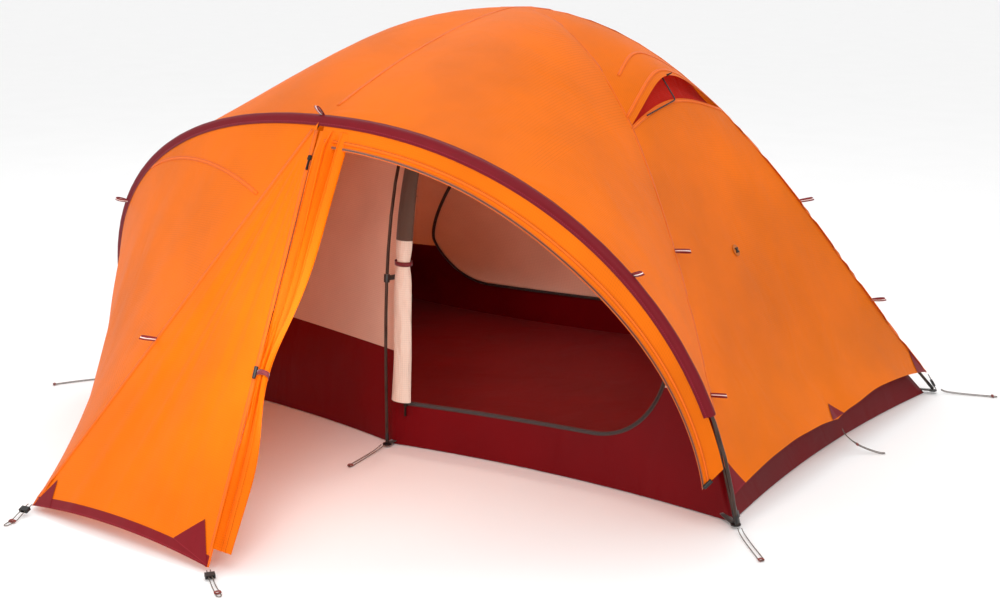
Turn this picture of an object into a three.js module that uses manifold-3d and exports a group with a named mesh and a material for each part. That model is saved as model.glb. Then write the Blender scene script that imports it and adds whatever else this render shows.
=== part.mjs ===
// Two-person dome tent. An inner tent with a bathtub floor hangs from two diagonal poles and a centre
// pole. The fly lies over them and reaches forward to a leaning hoop pole, which makes a vestibule.
// Millimetres, +Z up. The origin is the middle of the floor's underside, and the doorway faces -Y.
import * as THREE from "three";
import { mergeVertices } from "three/addons/utils/BufferGeometryUtils.js";
import Module from "manifold-3d";

const wasm = await Module();
wasm.setup();

// ---- Driving dimensions ----

const FLOOR_LENGTH = 2150;
const FLOOR_WIDTH = 1350;
const SIDE_PULL_OUT = 50; // the centre pole's feet stand this far outside the long sides
const FLOOR_SWEEP = 42; // the floor's edges curve in this far between corners
const TUB_HEIGHT = 270;
const WALL_END = 0.95; // walls of cloth end at this share of a leg's length, under the crown patch
const CLOTH = 2;
const SEAM_GAP = 1.5; // half the gap between two neighbouring cloth panels

const POLE_DIAMETER = 9;
const POLE_CLEARANCE = 1; // between poles that cross
const POLE_FOOT = 14; // height of the lower end of each pole
const PEAK_HEIGHT = 1177; // centreline of the upper diagonal pole
const PEAK_FORWARD = 100; // the diagonals cross this far in front of the floor's middle
const HOOP_HEIGHT = 952;
const HOOP_LEAN = 282; // the hoop's top stands this far in front of its feet

const INNER_HANG = 45; // the inner tent hangs this far inside its poles
const CORNER_INSET = 28; // the floor's corners stay this far inside the pole feet
const CANOPY_SAG = 8;
const FLY_STANDOFF = 15; // the fly's inner face outside the pole centrelines
const FLY_HEM = 70;
const FLY_SAG = 34;
const ROOF_CROWN = 30; // the front roof arches this far above straight lines from pole to pole

const DOOR_BOTTOM = 124;
const DOOR_START = 30; // the door's straight edge, from the centre pole
const DOOR_REACH = 775; // the door's far edge
const DOOR_TOP = 985;
const ROLL_WIDTH = 66; // the rolled-up door
const ROLL_DEPTH = 40;

const VESTIBULE_DEPTH = 1612; // from the floor's middle to the front hem
const VESTIBULE_LEFT = -415; // the front hem runs from here
const VESTIBULE_RIGHT = 215; // to here
const VESTIBULE_HEM = 14; // height of the front hem
const SLEEVE_DIAMETER = 20;
const SLEEVE_WALL = 2.5;
const SLEEVE_END = 312; // height at which the sleeve ends and the hoop pole runs bare
const HEADER_WIDTH = 74;
const FLAP_WIDTH = 86; // the gathered door flap, where it is loosest
const FLAP_TIED_WIDTH = 32;
const FLAP_TIE_AT = 0.55; // share of the zip's length, from the top

const VENT_LIP = 955; // height of the vent's lower lip in the middle
const VENT_GAP = 66; // between the lower lip and the hood's edge, in the middle
const VENT_FLARE = 85; // the hood's edge stands this far out from the poles' line
const VENT_SIDE = 905; // height at which lip and hood meet the poles
const VENT_PROP_WIRE = 4;

const CORD_DIAMETER = 2.4;
const STRAP_WIDTH = 15;
const STRAP_THICK = 2;
const ADJUSTER_WALL = 3;
const ADJUSTER_BAR = 2;
const ADJUSTER_LENGTH = 16;
const FIT = 0.6; // clearance of a piece that slides on a cord, strap or tape

// Shapes of the arches: reach ** side + height ** (1 / top) = 1, both as shares.
const HOOP_SHAPE = { side: 2.22, top: 0.411 };
const CENTRE_SHAPE = { front: { side: 2.8, top: 0.3 }, back: { side: 1.9, top: 0.27 } };
// Inner control points of a diagonal leg, as shares of half length, half width and height.
const LEG_LOW = { length: 0.731, width: 0.579, height: 0.396 };
const LEG_HIGH = { length: 0.5, width: 0.3, height: 1 };

// ---- Derived sizes ----

const HALF_LENGTH = FLOOR_LENGTH / 2;
const HALF_WIDTH = FLOOR_WIDTH / 2;
const POLE_RADIUS = POLE_DIAMETER / 2;
const POLE_STEP = POLE_DIAMETER + POLE_CLEARANCE;
const CENTRE_HEIGHT = PEAK_HEIGHT - 2 * POLE_STEP;
const HOOP_EDGE = SLEEVE_DIAMETER / 2 + 3 * SEAM_GAP; // cloth that meets the hoop ends here

// ---- Materials ----

const finish = (color, roughness, metalness = 0) =>
  new THREE.MeshStandardMaterial({ color, roughness, metalness });
const ORANGE = finish(0xf5821f, 0.55);
const MAROON = finish(0x6d0f22, 0.55);
const PEACH = finish(0xd98a66, 0.6);
const WHITE_CLOTH = finish(0xe4cdbb, 0.7);
const RED_MESH = finish(0xd8432b, 0.7);
const DARK_ALLOY = finish(0x4a3f3a, 0.35, 0.8);
const BLACK = finish(0x1b1a1a, 0.5);
const WEBBING = finish(0x3c3836, 0.8);
const CORD = finish(0x5a4f49, 0.8);

// ---- Small tools ----

const tent = new THREE.Group();
const vector = (x, y, z) => new THREE.Vector3(x, y, z);
const upwards = vector(0, 0, 1);
const sideways = vector(1, 0, 0);
const mix = (a, b, share) => a.clone().lerp(b, share);

function add(name, geometry, material) {
  const mesh = new THREE.Mesh(geometry, material);
  mesh.name = name;
  tent.add(mesh);
  return mesh;
}

function toSolid(geometry) {
  const bare = geometry.clone();
  bare.deleteAttribute("normal");
  bare.deleteAttribute("uv");
  const merged = mergeVertices(bare, 1e-3);
  const mesh = new wasm.Mesh({
    numProp: 3,
    vertProperties: merged.attributes.position.array,
    triVerts: new Uint32Array(merged.index.array),
  });
  return new wasm.Manifold(mesh);
}

function toGeometry(solid) {
  const mesh = solid.getMesh();
  const geometry = new THREE.BufferGeometry();
  geometry.setAttribute("position", new THREE.BufferAttribute(mesh.vertProperties, 3));
  geometry.setIndex(new THREE.BufferAttribute(mesh.triVerts, 1));
  geometry.computeVertexNormals();
  return geometry;
}

const cut = (body, tool) => toGeometry(toSolid(body).subtract(toSolid(tool)));

function reshape(geometry, place) {
  const position = geometry.attributes.position;
  for (let i = 0; i < position.count; i++) {
    const p = place(position.getX(i), position.getY(i), position.getZ(i));
    position.setXYZ(i, p.x, p.y, p.z);
  }
  geometry.computeVertexNormals();
  return geometry;
}

// The outward normal of a surface whose v runs anticlockwise seen from above and whose u runs upwards.
function normalAt(surface, v, u) {
  const step = 0.01;
  const alongV = surface(Math.min(v + step, 1), u).sub(surface(Math.max(v - step, 0), u));
  const alongU = surface(v, Math.min(u + step, 1)).sub(surface(v, Math.max(u - step, 0)));
  return alongV.cross(alongU).normalize();
}

// Cloth: a flat box bent onto surface(v, u), its thickness on the outside.
function cloth(surface, across, up, thickness = CLOTH) {
  const sheet = new THREE.BoxGeometry(1, 1, 1, across, up, 1);
  // The back's quads are split along the same diagonals as the front's.
  const { start, count } = sheet.groups[5];
  const index = sheet.index.array;
  for (let i = start; i < start + count; i += 6) {
    const [a, b, d, , c] = index.subarray(i, i + 6);
    index.set([a, b, c, a, c, d], i);
  }
  return reshape(sheet, (x, y, z) => {
    const v = x + 0.5;
    const u = y + 0.5;
    return surface(v, u).addScaledVector(normalAt(surface, v, u), (z + 0.5) * thickness);
  });
}

function circle(radius, sides, hole = 0) {
  const outline = (r) => Array.from({ length: sides }, (_, i) => {
    const angle = (2 * Math.PI * i) / sides;
    return new THREE.Vector2(r * Math.cos(angle), r * Math.sin(angle));
  });
  const shape = new THREE.Shape(outline(radius));
  if (hole) shape.holes.push(new THREE.Path(outline(hole)));
  return shape;
}

const extrude = (shape, depth) =>
  new THREE.ExtrudeGeometry(shape, { depth, bevelEnabled: false, curveSegments: 7 });
const sweep = (section, extrudePath, steps) =>
  new THREE.ExtrudeGeometry(section, { steps, extrudePath, bevelEnabled: false });

// A bundle of cloth along path(t), `across` half wide along `side` and `deep` half thick.
function bundle(path, side, across, deep, sides, steps) {
  const body = new THREE.CylinderGeometry(1, 1, 1, sides, steps);
  return reshape(body, (x, y, z) => {
    const t = y + 0.5;
    const along = path(Math.min(t + 0.01, 1)).sub(path(Math.max(t - 0.01, 0))).normalize();
    const wide = side.clone().addScaledVector(along, -side.dot(along)).normalize();
    const thick = wide.clone().cross(along);
    return path(t).addScaledVector(wide, x * across(t)).addScaledVector(thick, z * deep(t));
  });
}

// A plate with a hole, laid on a point with its hole's axis along `axis`.
function ring(outline, hole, length, centre, axis) {
  outline.holes.push(hole);
  const body = extrude(outline, length).translate(0, 0, -length / 2);
  const turn = new THREE.Quaternion().setFromUnitVectors(vector(0, 0, 1), axis.clone().normalize());
  return body.applyQuaternion(turn).translate(centre.x, centre.y, centre.z);
}

function rectangle(Kind, width, height) {
  const [x, y] = [width / 2, height / 2];
  return new Kind([
    new THREE.Vector2(-x, -y),
    new THREE.Vector2(x, -y),
    new THREE.Vector2(x, y),
    new THREE.Vector2(-x, y),
  ]);
}

// ---- Pole lines ----

// One leg of a diagonal pole, from the corner up to the peak. `grow` moves it outwards, `lift` up.
function leg(sideX, sideY, grow = 0, lift = grow) {
  const height = PEAK_HEIGHT + lift;
  const point = (share) => vector(
    sideX * (HALF_LENGTH + grow) * share.length,
    sideY * (HALF_WIDTH + grow) * share.width - PEAK_FORWARD * share.height,
    height * share.height,
  );
  const foot = { length: 1, width: 1, height: 0 };
  const peak = { length: 0, width: 0, height: 1 };
  return new THREE.CubicBezierCurve3(point(foot), point(LEG_LOW), point(LEG_HIGH), point(peak));
}

// The centre pole from a foot up to where the diagonals cross it. `lift` raises its top.
function centreLine(sideY, grow = 0, lift = grow) {
  const { side, top } = sideY < 0 ? CENTRE_SHAPE.front : CENTRE_SHAPE.back;
  const reach = HALF_WIDTH + SIDE_PULL_OUT + grow + sideY * PEAK_FORWARD;
  const line = new THREE.Curve();
  line.getPoint = (t) => {
    const angle = (Math.PI / 2) * t;
    const across = Math.pow(Math.max(Math.cos(angle), 0), 2 / side);
    return vector(0, sideY * reach * across - PEAK_FORWARD, (CENTRE_HEIGHT + lift) * Math.sin(angle) ** (2 * top));
  };
  return line;
}

// The share of a rising curve's length at which it reaches height z.
function shareAt(curve, z) {
  let [low, high] = [0, 1];
  for (let i = 0; i < 24; i++) {
    const middle = (low + high) / 2;
    if (curve.getPointAt(middle).z < z) low = middle;
    else high = middle;
  }
  return low;
}

const atHeight = (curve, z) => curve.getPointAt(shareAt(curve, z)).setZ(z);

// An arch in one piece, from its left or front foot over the top to the other. `from` is the height
// at which it starts and ends.
class Arch extends THREE.Curve {
  constructor(height, shape, place, from = POLE_FOOT) {
    super();
    Object.assign(this, { shape, place });
    this.start = Math.asin(Math.pow(from / height, 0.5 / shape.top));
  }

  getPoint(t) {
    const angle = this.start + (Math.PI - 2 * this.start) * t;
    const across = Math.cos(angle);
    const reach = Math.sign(across) * Math.pow(Math.abs(across), 2 / this.shape.side);
    return this.place(-reach, Math.pow(Math.sin(angle), 2 * this.shape.top));
  }
}

// A pole over the peak: up one leg and down the opposite one.
class Diagonal extends THREE.Curve {
  constructor(up, down) {
    super();
    Object.assign(this, { up, down });
    this.start = shareAt(up, POLE_FOOT);
  }

  getPoint(t) {
    const side = t < 0.5 ? this.up : this.down;
    const share = 1 - Math.abs(2 * t - 1);
    return side.getPointAt(this.start + (1 - this.start) * share);
  }
}

// The lines on which the poles stand. One diagonal passes under the other.
const POLE_LINES = {
  front_right: leg(1, -1),
  back_right: leg(1, 1, 0, -POLE_STEP),
  back_left: leg(-1, 1),
  front_left: leg(-1, -1, 0, -POLE_STEP),
  front_middle: centreLine(-1),
  back_middle: centreLine(1),
};
const hoopPlace = (reach, h) => vector(HALF_LENGTH * reach, -HALF_WIDTH - HOOP_LEAN * h, HOOP_HEIGHT * h);
const hoop = new Arch(HOOP_HEIGHT, HOOP_SHAPE, hoopPlace);
const centrePole = new Diagonal(POLE_LINES.front_middle, POLE_LINES.back_middle);

// ---- Poles ----

const tube = circle(POLE_RADIUS, 8);
const POLE_STEPS = 34;
const upperLine = new Diagonal(POLE_LINES.front_right, POLE_LINES.back_left);
const lowerLine = new Diagonal(POLE_LINES.back_right, POLE_LINES.front_left);
add("diagonal_pole_upper", sweep(tube, upperLine, POLE_STEPS), DARK_ALLOY);
add("diagonal_pole_lower", sweep(tube, lowerLine, POLE_STEPS), DARK_ALLOY);
add("centre_pole", sweep(tube, centrePole, POLE_STEPS), DARK_ALLOY);
add("vestibule_hoop_pole", sweep(tube, hoop, POLE_STEPS), DARK_ALLOY);

// Each pole foot stands in a grommet plate sewn to the floor's corner.
const PLATE_WIDTH = 26;
const PLATE_THICK = 3;
const PLATE_HOLE = POLE_RADIUS - 1;
const PLATE_RISE = 4; // the plate's top stays this far under the pole's end
const plateHeight = POLE_FOOT - PLATE_RISE - PLATE_THICK;
for (const [name, line] of Object.entries(POLE_LINES)) {
  const centre = atHeight(line, POLE_FOOT).setZ(plateHeight + PLATE_THICK / 2);
  const plate = ring(circle(PLATE_WIDTH / 2, 12), circle(PLATE_HOLE, 8), PLATE_THICK, centre, upwards);
  add("grommet_" + name, plate, BLACK);
}

// ---- Inner tent ----

// Cloth between neighbouring lines, taken anticlockwise seen from above. `low` and `high` are the
// heights of its lower and upper edges, `gap` what it stays short of the outer lines, and `belly`
// how far it stands out, less than 0 where it sags in.
function wall(lines, low, high, belly) {
  const spans = lines.length - 1;
  const shares = lines.map((line) => new Map());
  const shareOf = (i, z) => {
    if (!shares[i].has(z)) shares[i].set(z, z === "end" ? WALL_END : shareAt(lines[i], z));
    return shares[i].get(z);
  };
  return (v, u) => {
    const span = Math.min(Math.floor(v * spans), spans - 1);
    const within = v * spans - span;
    const [a, b] = [span, span + 1].map((i) => {
      const start = shareOf(i, low(v));
      return lines[i].getPointAt(start + (shareOf(i, high(v)) - start) * u);
    });
    const along = b.clone().sub(a);
    const length = along.length();
    const gaps = [span === 0 ? SEAM_GAP : 0, span === spans - 1 ? SEAM_GAP : 0];
    const share = (gaps[0] + (length - gaps[0] - gaps[1]) * within) / length;
    const out = vector(along.y, -along.x, 0).normalize();
    return mix(a, b, share).addScaledVector(out, belly(within, u) * arc(within));
  };
}

const arc = (v) => 4 * v * (1 - v); // 0 at both ends, 1 in the middle
const constant = (value) => () => value;

// The tub's walls lean from the floor's edge, near the pole feet, to the canopy inside the poles.
const tubCorners = (hang) => ({
  frontRight: leg(1, -1, -hang),
  backRight: leg(1, 1, -hang),
  backMiddle: centreLine(1, -hang),
  backLeft: leg(-1, 1, -hang),
  frontLeft: leg(-1, -1, -hang),
  frontMiddle: centreLine(-1, -hang),
});
const floorLines = tubCorners(CORNER_INSET);
const INNER = tubCorners(INNER_HANG);
const CENTRE_LIFT = 2 * POLE_STEP; // brings the centre line's top up to the diagonals'
INNER.frontMiddle = centreLine(-1, -INNER_HANG, CENTRE_LIFT - INNER_HANG);
INNER.backMiddle = centreLine(1, -INNER_HANG, CENTRE_LIFT - INNER_HANG);
const tubLine = (name) =>
  new THREE.LineCurve3(atHeight(floorLines[name], 0), atHeight(INNER[name], TUB_HEIGHT));

const tubBelly = (within, u) => -FLOOR_SWEEP + (FLOOR_SWEEP - CANOPY_SAG) * u;
const TUB_BOTTOM = 0.5;
const tubWall = (...names) =>
  wall(names.map(tubLine), constant(TUB_BOTTOM), constant(TUB_HEIGHT - SEAM_GAP), tubBelly);
const canopyWall = (...names) =>
  wall(names.map((name) => INNER[name]), constant(TUB_HEIGHT), constant("end"), constant(-CANOPY_SAG));

const tubFront = tubWall("frontLeft", "frontMiddle", "frontRight");
const tubRight = tubWall("frontRight", "backRight");
const tubBack = tubWall("backRight", "backMiddle", "backLeft");
const tubLeft = tubWall("backLeft", "frontLeft");

// The floor fills the line along which the tub's walls stand.
const FLOOR_THICK = 3;
const FLOOR_INSET = 2;
const TUB_STEPS = { front: 16, side: 6, back: 12 };
const inward = (surface, v) => normalAt(surface, v, 0).setZ(0).setLength(-FLOOR_INSET);
function floorEdge(surface, next, steps) {
  const points = Array.from({ length: steps - 1 }, (_, i) => (i + 1) / steps);
  const edge = points.map((v) => surface(v, 0).add(inward(surface, v)));
  return [...edge, surface(1, 0).add(inward(surface, 1)).add(inward(next, 0))];
}
const outline = [
  ...floorEdge(tubFront, tubRight, TUB_STEPS.front),
  ...floorEdge(tubRight, tubBack, TUB_STEPS.side),
  ...floorEdge(tubBack, tubLeft, TUB_STEPS.back),
  ...floorEdge(tubLeft, tubFront, TUB_STEPS.side),
];
const floorShape = new THREE.Shape(outline.map((p) => new THREE.Vector2(p.x, p.y)));
add("tub_floor", extrude(floorShape, FLOOR_THICK), MAROON);

// The doorway: straight beside the centre pole and along the bottom, round at its far side.
function doorOutline() {
  const far = new THREE.Vector2(DOOR_REACH, 300);
  const shape = new THREE.Shape();
  shape.moveTo(DOOR_START, DOOR_BOTTOM);
  shape.lineTo(DOOR_REACH - 170, DOOR_BOTTOM + 6);
  shape.bezierCurveTo(DOOR_REACH - 60, DOOR_BOTTOM + 10, DOOR_REACH, DOOR_BOTTOM + 80, far.x, far.y);
  shape.bezierCurveTo(DOOR_REACH - 20, far.y + 120, DOOR_START + 270, DOOR_TOP - 55, DOOR_START, DOOR_TOP);
  shape.closePath();
  return shape;
}

const DOORWAY_DEPTH = 700; // the cutter reaches through the leaning front wall
const DOORWAY_BACK = 450; // from the front edge of the floor back to the cutter's end
const doorCutter = extrude(doorOutline(), DOORWAY_DEPTH);
doorCutter.rotateX(Math.PI / 2).translate(0, DOORWAY_BACK - HALF_WIDTH, 0);

add("tub_front", cut(cloth(tubFront, TUB_STEPS.front, 2), doorCutter), MAROON);
add("tub_right", cloth(tubRight, TUB_STEPS.side, 2), MAROON);
add("tub_back", cloth(tubBack, TUB_STEPS.back, 2), MAROON);
add("tub_left", cloth(tubLeft, TUB_STEPS.side, 2), MAROON);

add("canopy_front_right", cut(cloth(canopyWall("frontMiddle", "frontRight"), 6, 8), doorCutter), PEACH);
add("canopy_front_left", cloth(canopyWall("frontLeft", "frontMiddle"), 6, 8), PEACH);
add("canopy_right_end", cloth(canopyWall("frontRight", "backRight"), 6, 8), PEACH);
add("canopy_back", cloth(canopyWall("backRight", "backMiddle", "backLeft"), 8, 8), PEACH);
add("canopy_left_end", cloth(canopyWall("backLeft", "frontLeft"), 6, 8), PEACH);

// A flat patch over the rim where the walls end.
function crownPatch(lines, lift) {
  const rim = Object.values(lines).map((line) => line.getPointAt(WALL_END));
  const shape = new THREE.Shape(rim.map((p) => new THREE.Vector2(p.x, p.y)));
  const height = Math.max(...rim.map((p) => p.z)) + lift;
  return extrude(shape, CLOTH).translate(0, 0, height);
}
add("canopy_crown", crownPatch(INNER, 2 * CLOTH), PEACH);

// ---- Fly ----

const FLY = {
  frontRight: leg(1, -1, FLY_STANDOFF),
  backRight: leg(1, 1, FLY_STANDOFF),
  backMiddle: centreLine(1, FLY_STANDOFF, FLY_STANDOFF + CENTRE_LIFT),
  backLeft: leg(-1, 1, FLY_STANDOFF),
  frontLeft: leg(-1, -1, FLY_STANDOFF),
};
const flyWall = (names, low, high, belly) => wall(names.map((name) => FLY[name]), low, high, belly);
const flySag = (within, u) => -FLY_SAG * Math.sin(Math.PI * Math.min(u * 0.9 + 0.1, 1));

// The right end: a lower panel up to the vent's lip, and above the vent a panel that flares into a hood.
const LIP_BULGE = 30; // the lip stands out past the poles' line, held by the prop
const ventLip = (v) => VENT_SIDE + (VENT_LIP - VENT_SIDE) * arc(v);
const hoodEdge = (v) => VENT_SIDE + 4 + (VENT_LIP + VENT_GAP - VENT_SIDE - 4) * arc(v);
const endBelly = (within, u) => flySag(within, u) * (1 - u ** 3) + LIP_BULGE * u ** 5;
const hoodBelly = (within, u) => VENT_FLARE * (1 - u) ** 1.6;
const rightEnd = flyWall(["frontRight", "backRight"], constant(FLY_HEM), ventLip, endBelly);
const hoodSurface = flyWall(["frontRight", "backRight"], hoodEdge, constant("end"), hoodBelly);
add("fly_right_end", cloth(rightEnd, 8, 10), ORANGE);
add("vent_hood", cloth(hoodSurface, 8, 4), ORANGE);

// The vent's mesh hangs between lip and hood, a little inside them.
const MESH_INSIDE = 40;
const MESH_EDGE = 0.12;
const meshSurface = (v, u) => {
  const across = MESH_EDGE + (1 - 2 * MESH_EDGE) * v;
  const low = rightEnd(across, 1);
  const high = hoodSurface(across, 0);
  const inside = vector(-MESH_INSIDE, 0, 0);
  return low.add(inside).setZ(ventLip(across) + 0.8 * u * (high.z - ventLip(across)));
};
add("vent_mesh", cloth(meshSurface, 8, 2), RED_MESH);

const flyLeft = flyWall(["backLeft", "frontLeft"], constant(FLY_HEM), constant("end"), flySag);
add("fly_left_end", cloth(flyLeft, 6, 9), ORANGE);
const flyBack = flyWall(["backRight", "backMiddle", "backLeft"], constant(FLY_HEM), constant("end"), flySag);
add("fly_back", cloth(flyBack, 10, 9), ORANGE);

// The roof runs from the front legs forward to the hoop, matched by share of length along each.
const hoopHalf = (sideX, share) => hoop.getPointAt(0.5 + sideX * 0.5 * (1 - share));
const ROOF_START = 0.09; // share of the leg's length where the roof begins, above the corner
const ROOF_END = 0.998;

function roof(sideX) {
  return (v, u) => {
    const share = ROOF_START + (ROOF_END - ROOF_START) * u;
    const toHoop = sideX > 0 ? 1 - v : v;
    const onLeg = (sideX > 0 ? FLY.frontRight : FLY.frontLeft).getPointAt(share);
    const onHoop = hoopHalf(sideX, share);
    onLeg.x = sideX * Math.max(Math.abs(onLeg.x), SEAM_GAP);
    onHoop.x = sideX * Math.max(Math.abs(onHoop.x), SEAM_GAP);
    const span = onLeg.distanceTo(onHoop);
    const t = (SEAM_GAP + (span - SEAM_GAP - HOOP_EDGE) * toHoop) / span;
    return mix(onLeg, onHoop, t).add(vector(0, 0, ROOF_CROWN * arc(toHoop) * u));
  };
}
add("fly_roof_right", cloth(roof(1), 6, 10), ORANGE);
add("fly_roof_left", cloth(roof(-1), 6, 10), ORANGE);

// The maroon sleeve that holds the hoop pole, sewn between roof and vestibule.
const sleeveLine = new Arch(HOOP_HEIGHT, HOOP_SHAPE, hoopPlace, SLEEVE_END);
const sleeveSection = circle(SLEEVE_DIAMETER / 2, 8, SLEEVE_DIAMETER / 2 - SLEEVE_WALL);
add("hoop_sleeve", sweep(sleeveSection, sleeveLine, 30), MAROON);

// ---- Vestibule ----

const hoopTop = hoopPlace(0, 1);
const stakeLeft = vector(VESTIBULE_LEFT, -VESTIBULE_DEPTH, VESTIBULE_HEM);
const stakeRight = vector(VESTIBULE_RIGHT, -VESTIBULE_DEPTH, VESTIBULE_HEM);
const frontLeftFoot = hoopPlace(-1, 0).setZ(FLY_HEM);
const frontRightFoot = hoopPlace(1, 0).setZ(FLY_HEM);
const HEM_RISE = 22; // hems curve up between the points that hold them down
const VESTIBULE_BULGE = 10;

// The left panel hangs from the hoop's left half down to the hem between the corner and the left stake.
const LEFT_START = 0.1; // share of the hoop's half at which the panel begins, above the corner
function vestibuleSide(v, u) {
  const share = LEFT_START + (1 - LEFT_START) * v;
  const top = hoopHalf(-1, share);
  top.x = Math.min(top.x, -SEAM_GAP);
  const low = mix(frontLeftFoot, stakeLeft, share);
  low.z += HEM_RISE * arc(v);
  const span = top.distanceTo(low);
  const t = u * (1 - HOOP_EDGE / span);
  const out = vector(-0.75, -0.6, 0.2);
  return mix(low, top, t).addScaledVector(out, VESTIBULE_BULGE * arc(u) * Math.sin(Math.PI * v));
}
add("vestibule_left", cloth(vestibuleSide, 8, 8), ORANGE);

// The front panel is the wedge between the diagonal seam and the zip, which meet at the hoop's top.
const WEDGE_TOP = 0.93;
function vestibuleFront(v, u) {
  const low = mix(stakeLeft, stakeRight, v);
  low.z += HEM_RISE * arc(v);
  const share = u * WEDGE_TOP;
  const left = mix(stakeLeft, hoopTop, share);
  const right = mix(stakeRight, hoopTop, share);
  const width = left.distanceTo(right);
  const t = (2 * SEAM_GAP + (width - 4 * SEAM_GAP) * v) / width;
  return mix(left, right, t).add(vector(0, 0, HEM_RISE * arc(v) * (1 - u)));
}
add("vestibule_front", cloth(vestibuleFront, 4, 6), ORANGE);

// The header is what stays of the door's side when the door is open: a strip under the hoop's right half.
const HEADER_START = 0.14;
function headerSurface(v, u) {
  const share = 0.985 + (HEADER_START - 0.985) * v;
  const top = hoopHalf(1, share);
  const low = mix(frontRightFoot, stakeRight, share);
  const span = top.distanceTo(low);
  const t = (HOOP_EDGE + HEADER_WIDTH * (1 - u)) / span;
  return mix(top, low, t);
}
add("door_header", cloth(headerSurface, 14, 1), ORANGE);

// The open door is gathered beside the front panel's zip and tied at its middle.
const zipLine = (share) => mix(hoopTop, stakeRight, share);
const flapWide = (t) => {
  const tied = Math.exp(-(((t - FLAP_TIE_AT) / 0.16) ** 2));
  const loose = FLAP_WIDTH * (1 - 0.45 * t) / 2;
  return loose - (loose - FLAP_TIED_WIDTH / 2) * tied;
};
const FLAP_TOP = 0.12;
const FLAP_LOW = 0.96;
const FLAP_GAP = 6; // between the bundle and the front panel's zip edge
const flapPath = (t) => {
  const point = zipLine(FLAP_TOP + (FLAP_LOW - FLAP_TOP) * t);
  return point.add(vector(flapWide(t) + FLAP_GAP, 0, 0));
};
const flapDeep = (t) => 0.6 * flapWide(t);
add("door_flap_gathered", bundle(flapPath, sideways, flapWide, flapDeep, 8, 14), ORANGE);

// ---- Hardware of the inner tent ----

// A ring clips the canopy to each pole line, and a plate hangs it from the crossing.
const CLIP_HEIGHT = 487;
const CLIP_LENGTH = 22;
const CLIP_WALL = 3;
for (const [name, line] of Object.entries(POLE_LINES)) {
  const share = shareAt(line, CLIP_HEIGHT);
  const section = circle(POLE_RADIUS + FIT + CLIP_WALL, 10);
  const bore = circle(POLE_RADIUS + 3 * FIT, 10);
  const clip = ring(section, bore, CLIP_LENGTH, line.getPointAt(share), line.getTangentAt(share));
  add("pole_clip_" + name, clip, BLACK);
}
const HOOK_RADIUS = 22;
const HOOK_THICK = 4;
const hookCentre = vector(0, -PEAK_FORWARD, CENTRE_HEIGHT - POLE_DIAMETER - HOOK_THICK);
add("peak_hook", ring(circle(HOOK_RADIUS, 12), circle(4, 8), HOOK_THICK, hookCentre, upwards), BLACK);

// The door is rolled up in front of the canopy, beside the centre pole, and held by a tie.
const ROLL_LOW = 142;
const ROLL_HIGH = 955;
const ROLL_OFF = 5; // between the roll and the canopy behind it
const rollX = DOOR_START / 2 + ROLL_WIDTH / 2 - 6;
const rollDeep = (t) => (ROLL_DEPTH / 2) * (1 - 0.35 * t);
const rollWide = (t) => (ROLL_WIDTH / 2) * (1 - 0.12 * Math.sin(Math.PI * t));
const rollPath = (t) => {
  const z = ROLL_LOW + (ROLL_HIGH - ROLL_LOW) * t;
  const behind = z < TUB_HEIGHT ? tubLine("frontMiddle") : INNER.frontMiddle;
  return vector(rollX, atHeight(behind, z).y - rollDeep(t) - ROLL_OFF - 12 * t, z);
};
add("door_roll", bundle(rollPath, sideways, rollWide, rollDeep, 8, 10), WHITE_CLOTH);

const TIE_AT = 0.48;
const TIE_WIDTH = 12;
const TIE_WALL = 2;
function oval(halfWidth, halfHeight, sides) {
  return circle(1, sides).getPoints().map((p) => new THREE.Vector2(p.x * halfWidth, p.y * halfHeight));
}
const tieInner = [rollWide(TIE_AT) + 3 * FIT, rollDeep(TIE_AT) + 3 * FIT];
const tieOuter = new THREE.Shape(oval(tieInner[0] + TIE_WALL, tieInner[1] + TIE_WALL, 12));
const tieHole = new THREE.Path(oval(...tieInner, 12));
add("door_tie", ring(tieOuter, tieHole, TIE_WIDTH, rollPath(TIE_AT), upwards), MAROON);

// A zip slider: a flat body with its pull hanging from it, on the face that `out` points from.
const SLIDER_WIDTH = 11;
const SLIDER_BODY = 14;
const SLIDER_PULL = 26;
const SLIDER_THICK = 5;
const SLIDER_OFF = 2; // between the slider's back and the cloth
function slider(name, place, up, out) {
  const half = SLIDER_WIDTH / 2;
  const shape = new THREE.Shape([
    new THREE.Vector2(-0.45 * half, -SLIDER_BODY / 2 - SLIDER_PULL),
    new THREE.Vector2(0.45 * half, -SLIDER_BODY / 2 - SLIDER_PULL),
    new THREE.Vector2(0.3 * half, -SLIDER_BODY / 2),
    new THREE.Vector2(half, -SLIDER_BODY / 2 + 3),
    new THREE.Vector2(0.7 * half, SLIDER_BODY / 2),
    new THREE.Vector2(-0.7 * half, SLIDER_BODY / 2),
    new THREE.Vector2(-half, -SLIDER_BODY / 2 + 3),
    new THREE.Vector2(-0.3 * half, -SLIDER_BODY / 2),
  ]);
  const body = extrude(shape, SLIDER_THICK);
  const normal = out.clone().normalize();
  const rise = up.clone().addScaledVector(normal, -up.dot(normal)).normalize();
  const basis = new THREE.Matrix4().makeBasis(rise.clone().cross(normal), rise, normal);
  const at = place.clone().addScaledVector(normal, SLIDER_OFF + CLOTH);
  add(name, body.applyMatrix4(basis).translate(at.x, at.y, at.z), DARK_ALLOY);
}

const doorwayStart = (DOOR_START + SLIDER_WIDTH) / (2 * HALF_LENGTH);
const tubShare = DOOR_BOTTOM / TUB_HEIGHT;
const frontSliderPlace = tubFront(0.5 + doorwayStart, tubShare).add(vector(0, 0, -2));
slider("door_zip_slider", frontSliderPlace, upwards, normalAt(tubFront, 0.5 + doorwayStart, tubShare));
const rearSliderPlace = tubBack(0.5 + doorwayStart, tubShare);
slider("rear_door_zip_slider", rearSliderPlace, upwards, normalAt(tubBack, 0.5 + doorwayStart, tubShare));

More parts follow.
